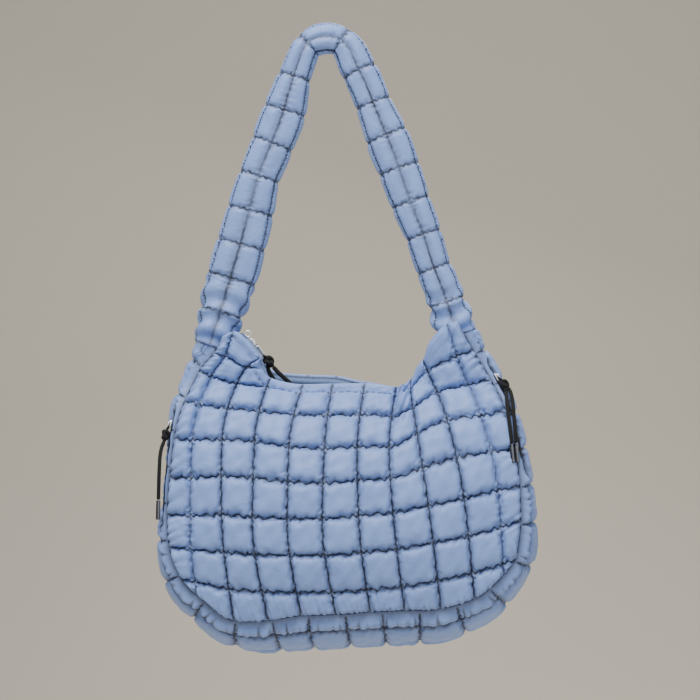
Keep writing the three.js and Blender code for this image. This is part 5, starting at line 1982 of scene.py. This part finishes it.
@dataclass
class Pulls:
    """All the black cord pulls: knots, tails and tips, by places in millimetres."""

    mouth_diameter: float = 5.4 * MM
    pocket_diameter: float = 4.4 * MM
    mouth_loop: float = 3.4 * MM
    pocket_loop: float = 2.2 * MM

    def cords(self) -> list[tuple[Cord, str]]:
        """The cords, each with the node of its tip."""
        mouth, pocket = self.mouth_diameter, self.pocket_diameter
        cords = [
            (Cord("mouth_tail_long", "zip_pull_tail_long", MOUTH_LONG, mouth), ""),
            (Cord("mouth_tail_short", "zip_pull_tail_short", MOUTH_SHORT, mouth), ""),
        ]
        for name, node, route in (
            ("left_tail", "left_pocket_{}", LEFT_TAIL),
            ("right_tail_inner", "right_pocket_{}_a", RIGHT_INNER),
            ("right_tail_outer", "right_pocket_{}_b", RIGHT_OUTER),
        ):
            cords.append((Cord(name, node.format("cord"), route, pocket, "fitting"), node.format("aglet")))
        return cords

    def knots(self) -> tuple[Knot, ...]:
        """The knots, each with the first points of the tails that leave it.

        Returns:
            The knots.
        """
        mouth = Knot(
            "mouth_knot", "zip_pull_knot",
            centre=(-61.9, -10.1, -363), end=(-57.2, -10.1, -368.9), eye=(-67.3, -12.9, -357.1),
            cord=self.mouth_diameter, loop_cord=self.mouth_loop, tails=(MOUTH_LONG[0], MOUTH_SHORT[0]),
        )  # fmt: skip
        left = Knot(
            "left_knot", "left_pocket_knot",
            centre=(-175.9, -52.9, -448.4), end=(-176.9, -54.3, -455.2), eye=(-170.6, -49.9, -436.8),
            cord=self.pocket_diameter, loop_cord=self.pocket_loop, tails=(LEFT_TAIL[0],),
        )  # fmt: skip
        right = Knot(
            "right_knot", "right_pocket_knot",
            centre=(212.1, -33.7, -390.9), end=(215, -36.4, -396.7), eye=(205.0, -29.6, -383.0),
            cord=self.pocket_diameter, loop_cord=self.pocket_loop, tails=(RIGHT_INNER[0], RIGHT_OUTER[0]),
        )  # fmt: skip
        return mouth, left, right

    def build(self) -> None:
        """Makes the cords with their tips, then the knots that they leave."""
        for cord, tip_node in self.cords():
            tips = [Tip(f"{cord.name}_tip", tip_node, cord).build()] if tip_node else []
            cord.build(tips)
        for knot in self.knots():
            knot.build()


# The stage


@dataclass(frozen=True)
class Studio:
    """The camera, the soft lights and the plain pale sweep behind and below the bag."""

    target: tuple[float, float, float] = (0.033, 0.0, -0.350)
    distance: float = 1.876
    azimuth: float = 3.0
    pitch: float = 1.8
    lens: float = 82.2
    floor: float = -1.25
    wall: float = 2.9
    wall_colour: Colour = from_srgb(222, 214, 198)
    bend: float = 0.8
    near: float = -5.0
    half_width: float = 6.0
    height: float = 4.5

    def heading(self) -> np.ndarray:
        """The way the camera looks."""
        a, e = math.radians(self.azimuth), math.radians(self.pitch)
        return np.array([-math.sin(a) * math.cos(e), math.cos(a) * math.cos(e), math.sin(e)])

    def camera(self) -> None:
        """Makes the camera at the photograph's viewing angle."""
        data = bpy.data.cameras.new("camera")
        data.lens = self.lens
        data.sensor_width = 36
        camera = bpy.data.objects.new("camera", data)
        bpy.context.scene.collection.objects.link(camera)
        camera.location = np.array(self.target) - self.heading() * self.distance
        camera.rotation_mode = "QUATERNION"
        camera.rotation_quaternion = Vector(self.heading()).to_track_quat("-Z", "Y")
        bpy.context.scene.camera = camera

    def light(
        self, name: str, place: tuple[float, float, float], size: float, power: float, colour: Colour
    ) -> None:
        """Makes one square soft light that looks at the bag."""
        data = bpy.data.lights.new(name, "AREA")
        data.size = size
        data.energy = power
        data.color = colour[:3]
        lamp = bpy.data.objects.new(name, data)
        bpy.context.scene.collection.objects.link(lamp)
        lamp.location = place
        aim = Vector(self.target) - Vector(place)
        lamp.rotation_mode = "QUATERNION"
        lamp.rotation_quaternion = aim.to_track_quat("-Z", "Y")

    def sweep(self) -> None:
        """Makes the floor and wall as one sheet, joined by a quarter round."""
        turn = np.linspace(0, np.pi / 2, 24)
        y = np.concatenate([[self.near], self.wall - self.bend + self.bend * np.sin(turn), [self.wall]])
        rise = self.bend * (1 - np.cos(turn))
        z = np.concatenate([[self.floor], self.floor + rise, [self.floor + self.height]])
        x = np.array([-self.half_width, self.half_width])
        points = np.stack([np.repeat(x, len(y)), np.tile(y, 2), np.tile(z, 2)], 1)
        n = np.arange(len(y) - 1)
        quads = np.stack([n, n + len(y), n + len(y) + 1, n + 1], 1)
        mesh = bpy.data.meshes.new("sweep")
        mesh.from_pydata(points.tolist(), [], quads.tolist())
        mesh.polygons.foreach_set("use_smooth", np.ones(len(quads), bool))
        sweep = bpy.data.objects.new("sweep", mesh)
        bpy.context.scene.collection.objects.link(sweep)
        material, n, bsdf = principled("Pale sweep")
        noise = n.add("ShaderNodeTexNoise", Scale=1.2, Detail=2.0)
        n.join(n.add("ShaderNodeTexCoord").outputs["Object"], noise.inputs["Vector"])
        pale = tuple(0.94 * c for c in self.wall_colour[:3]) + (1.0,)
        n.join(n.mix(noise.outputs["Fac"], pale, self.wall_colour), bsdf.inputs["Base Color"])
        bsdf.inputs["Roughness"].default_value = 0.9
        mesh.materials.append(material)
        sweep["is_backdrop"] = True

    def build(self) -> None:
        """Makes the lights, the sky's fill and the sweep."""
        warm, cool = (1.0, 0.985, 0.96, 1.0), (0.93, 0.96, 1.0, 1.0)
        self.light("key", (-0.35, -1.15, 1.5), 1.5, 74.0, warm)
        self.light("side", (1.8, -1.6, 0.1), 1.0, 12.0, cool)
        self.light("back", (0.6, 1.7, 1.3), 1.4, 34.0, warm)
        world = bpy.data.worlds.new("fill")
        world.use_nodes = True
        world.node_tree.nodes["Background"].inputs[0].default_value = (0.86, 0.9, 1.0, 1.0)
        world.node_tree.nodes["Background"].inputs[1].default_value = 0.3
        bpy.context.scene.world = world
        self.sweep()


def main() -> None:
    """Builds the bag from its sub-assemblies, camera and cords first."""
    logging.basicConfig(level=logging.INFO, format="%(name)s: %(message)s")
    cad_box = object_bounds()
    studio = Studio()
    studio.camera()
    Pulls().build()
    quilt = Quilt()
    quilt.swell()
    front = Panel(Side.FRONT, FRONT_RIM, per_cell=30)
    back = Panel(Side.BACK, BACK_RIM, per_cell=18)
    strap = Strap()
    gusset = Gusset(front, strap)
    for part in (front, back, gusset):
        part.build(quilt)
    strap.build(quilt)
    MouthZip(front, back).build()
    PocketZip(gusset, "left", first=2.73, last=5.27).build()
    PocketZip(gusset, "right", first=1.73, last=4.27).build()
    Sewing((front, back), strap, quilt).build()
    studio.build()
    boxes = {"cad": cad_box, "visual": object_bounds()}
    {name: [list(corner) for corner in box] for name, box in boxes.items()}


if __name__ == "__main__":
    main()
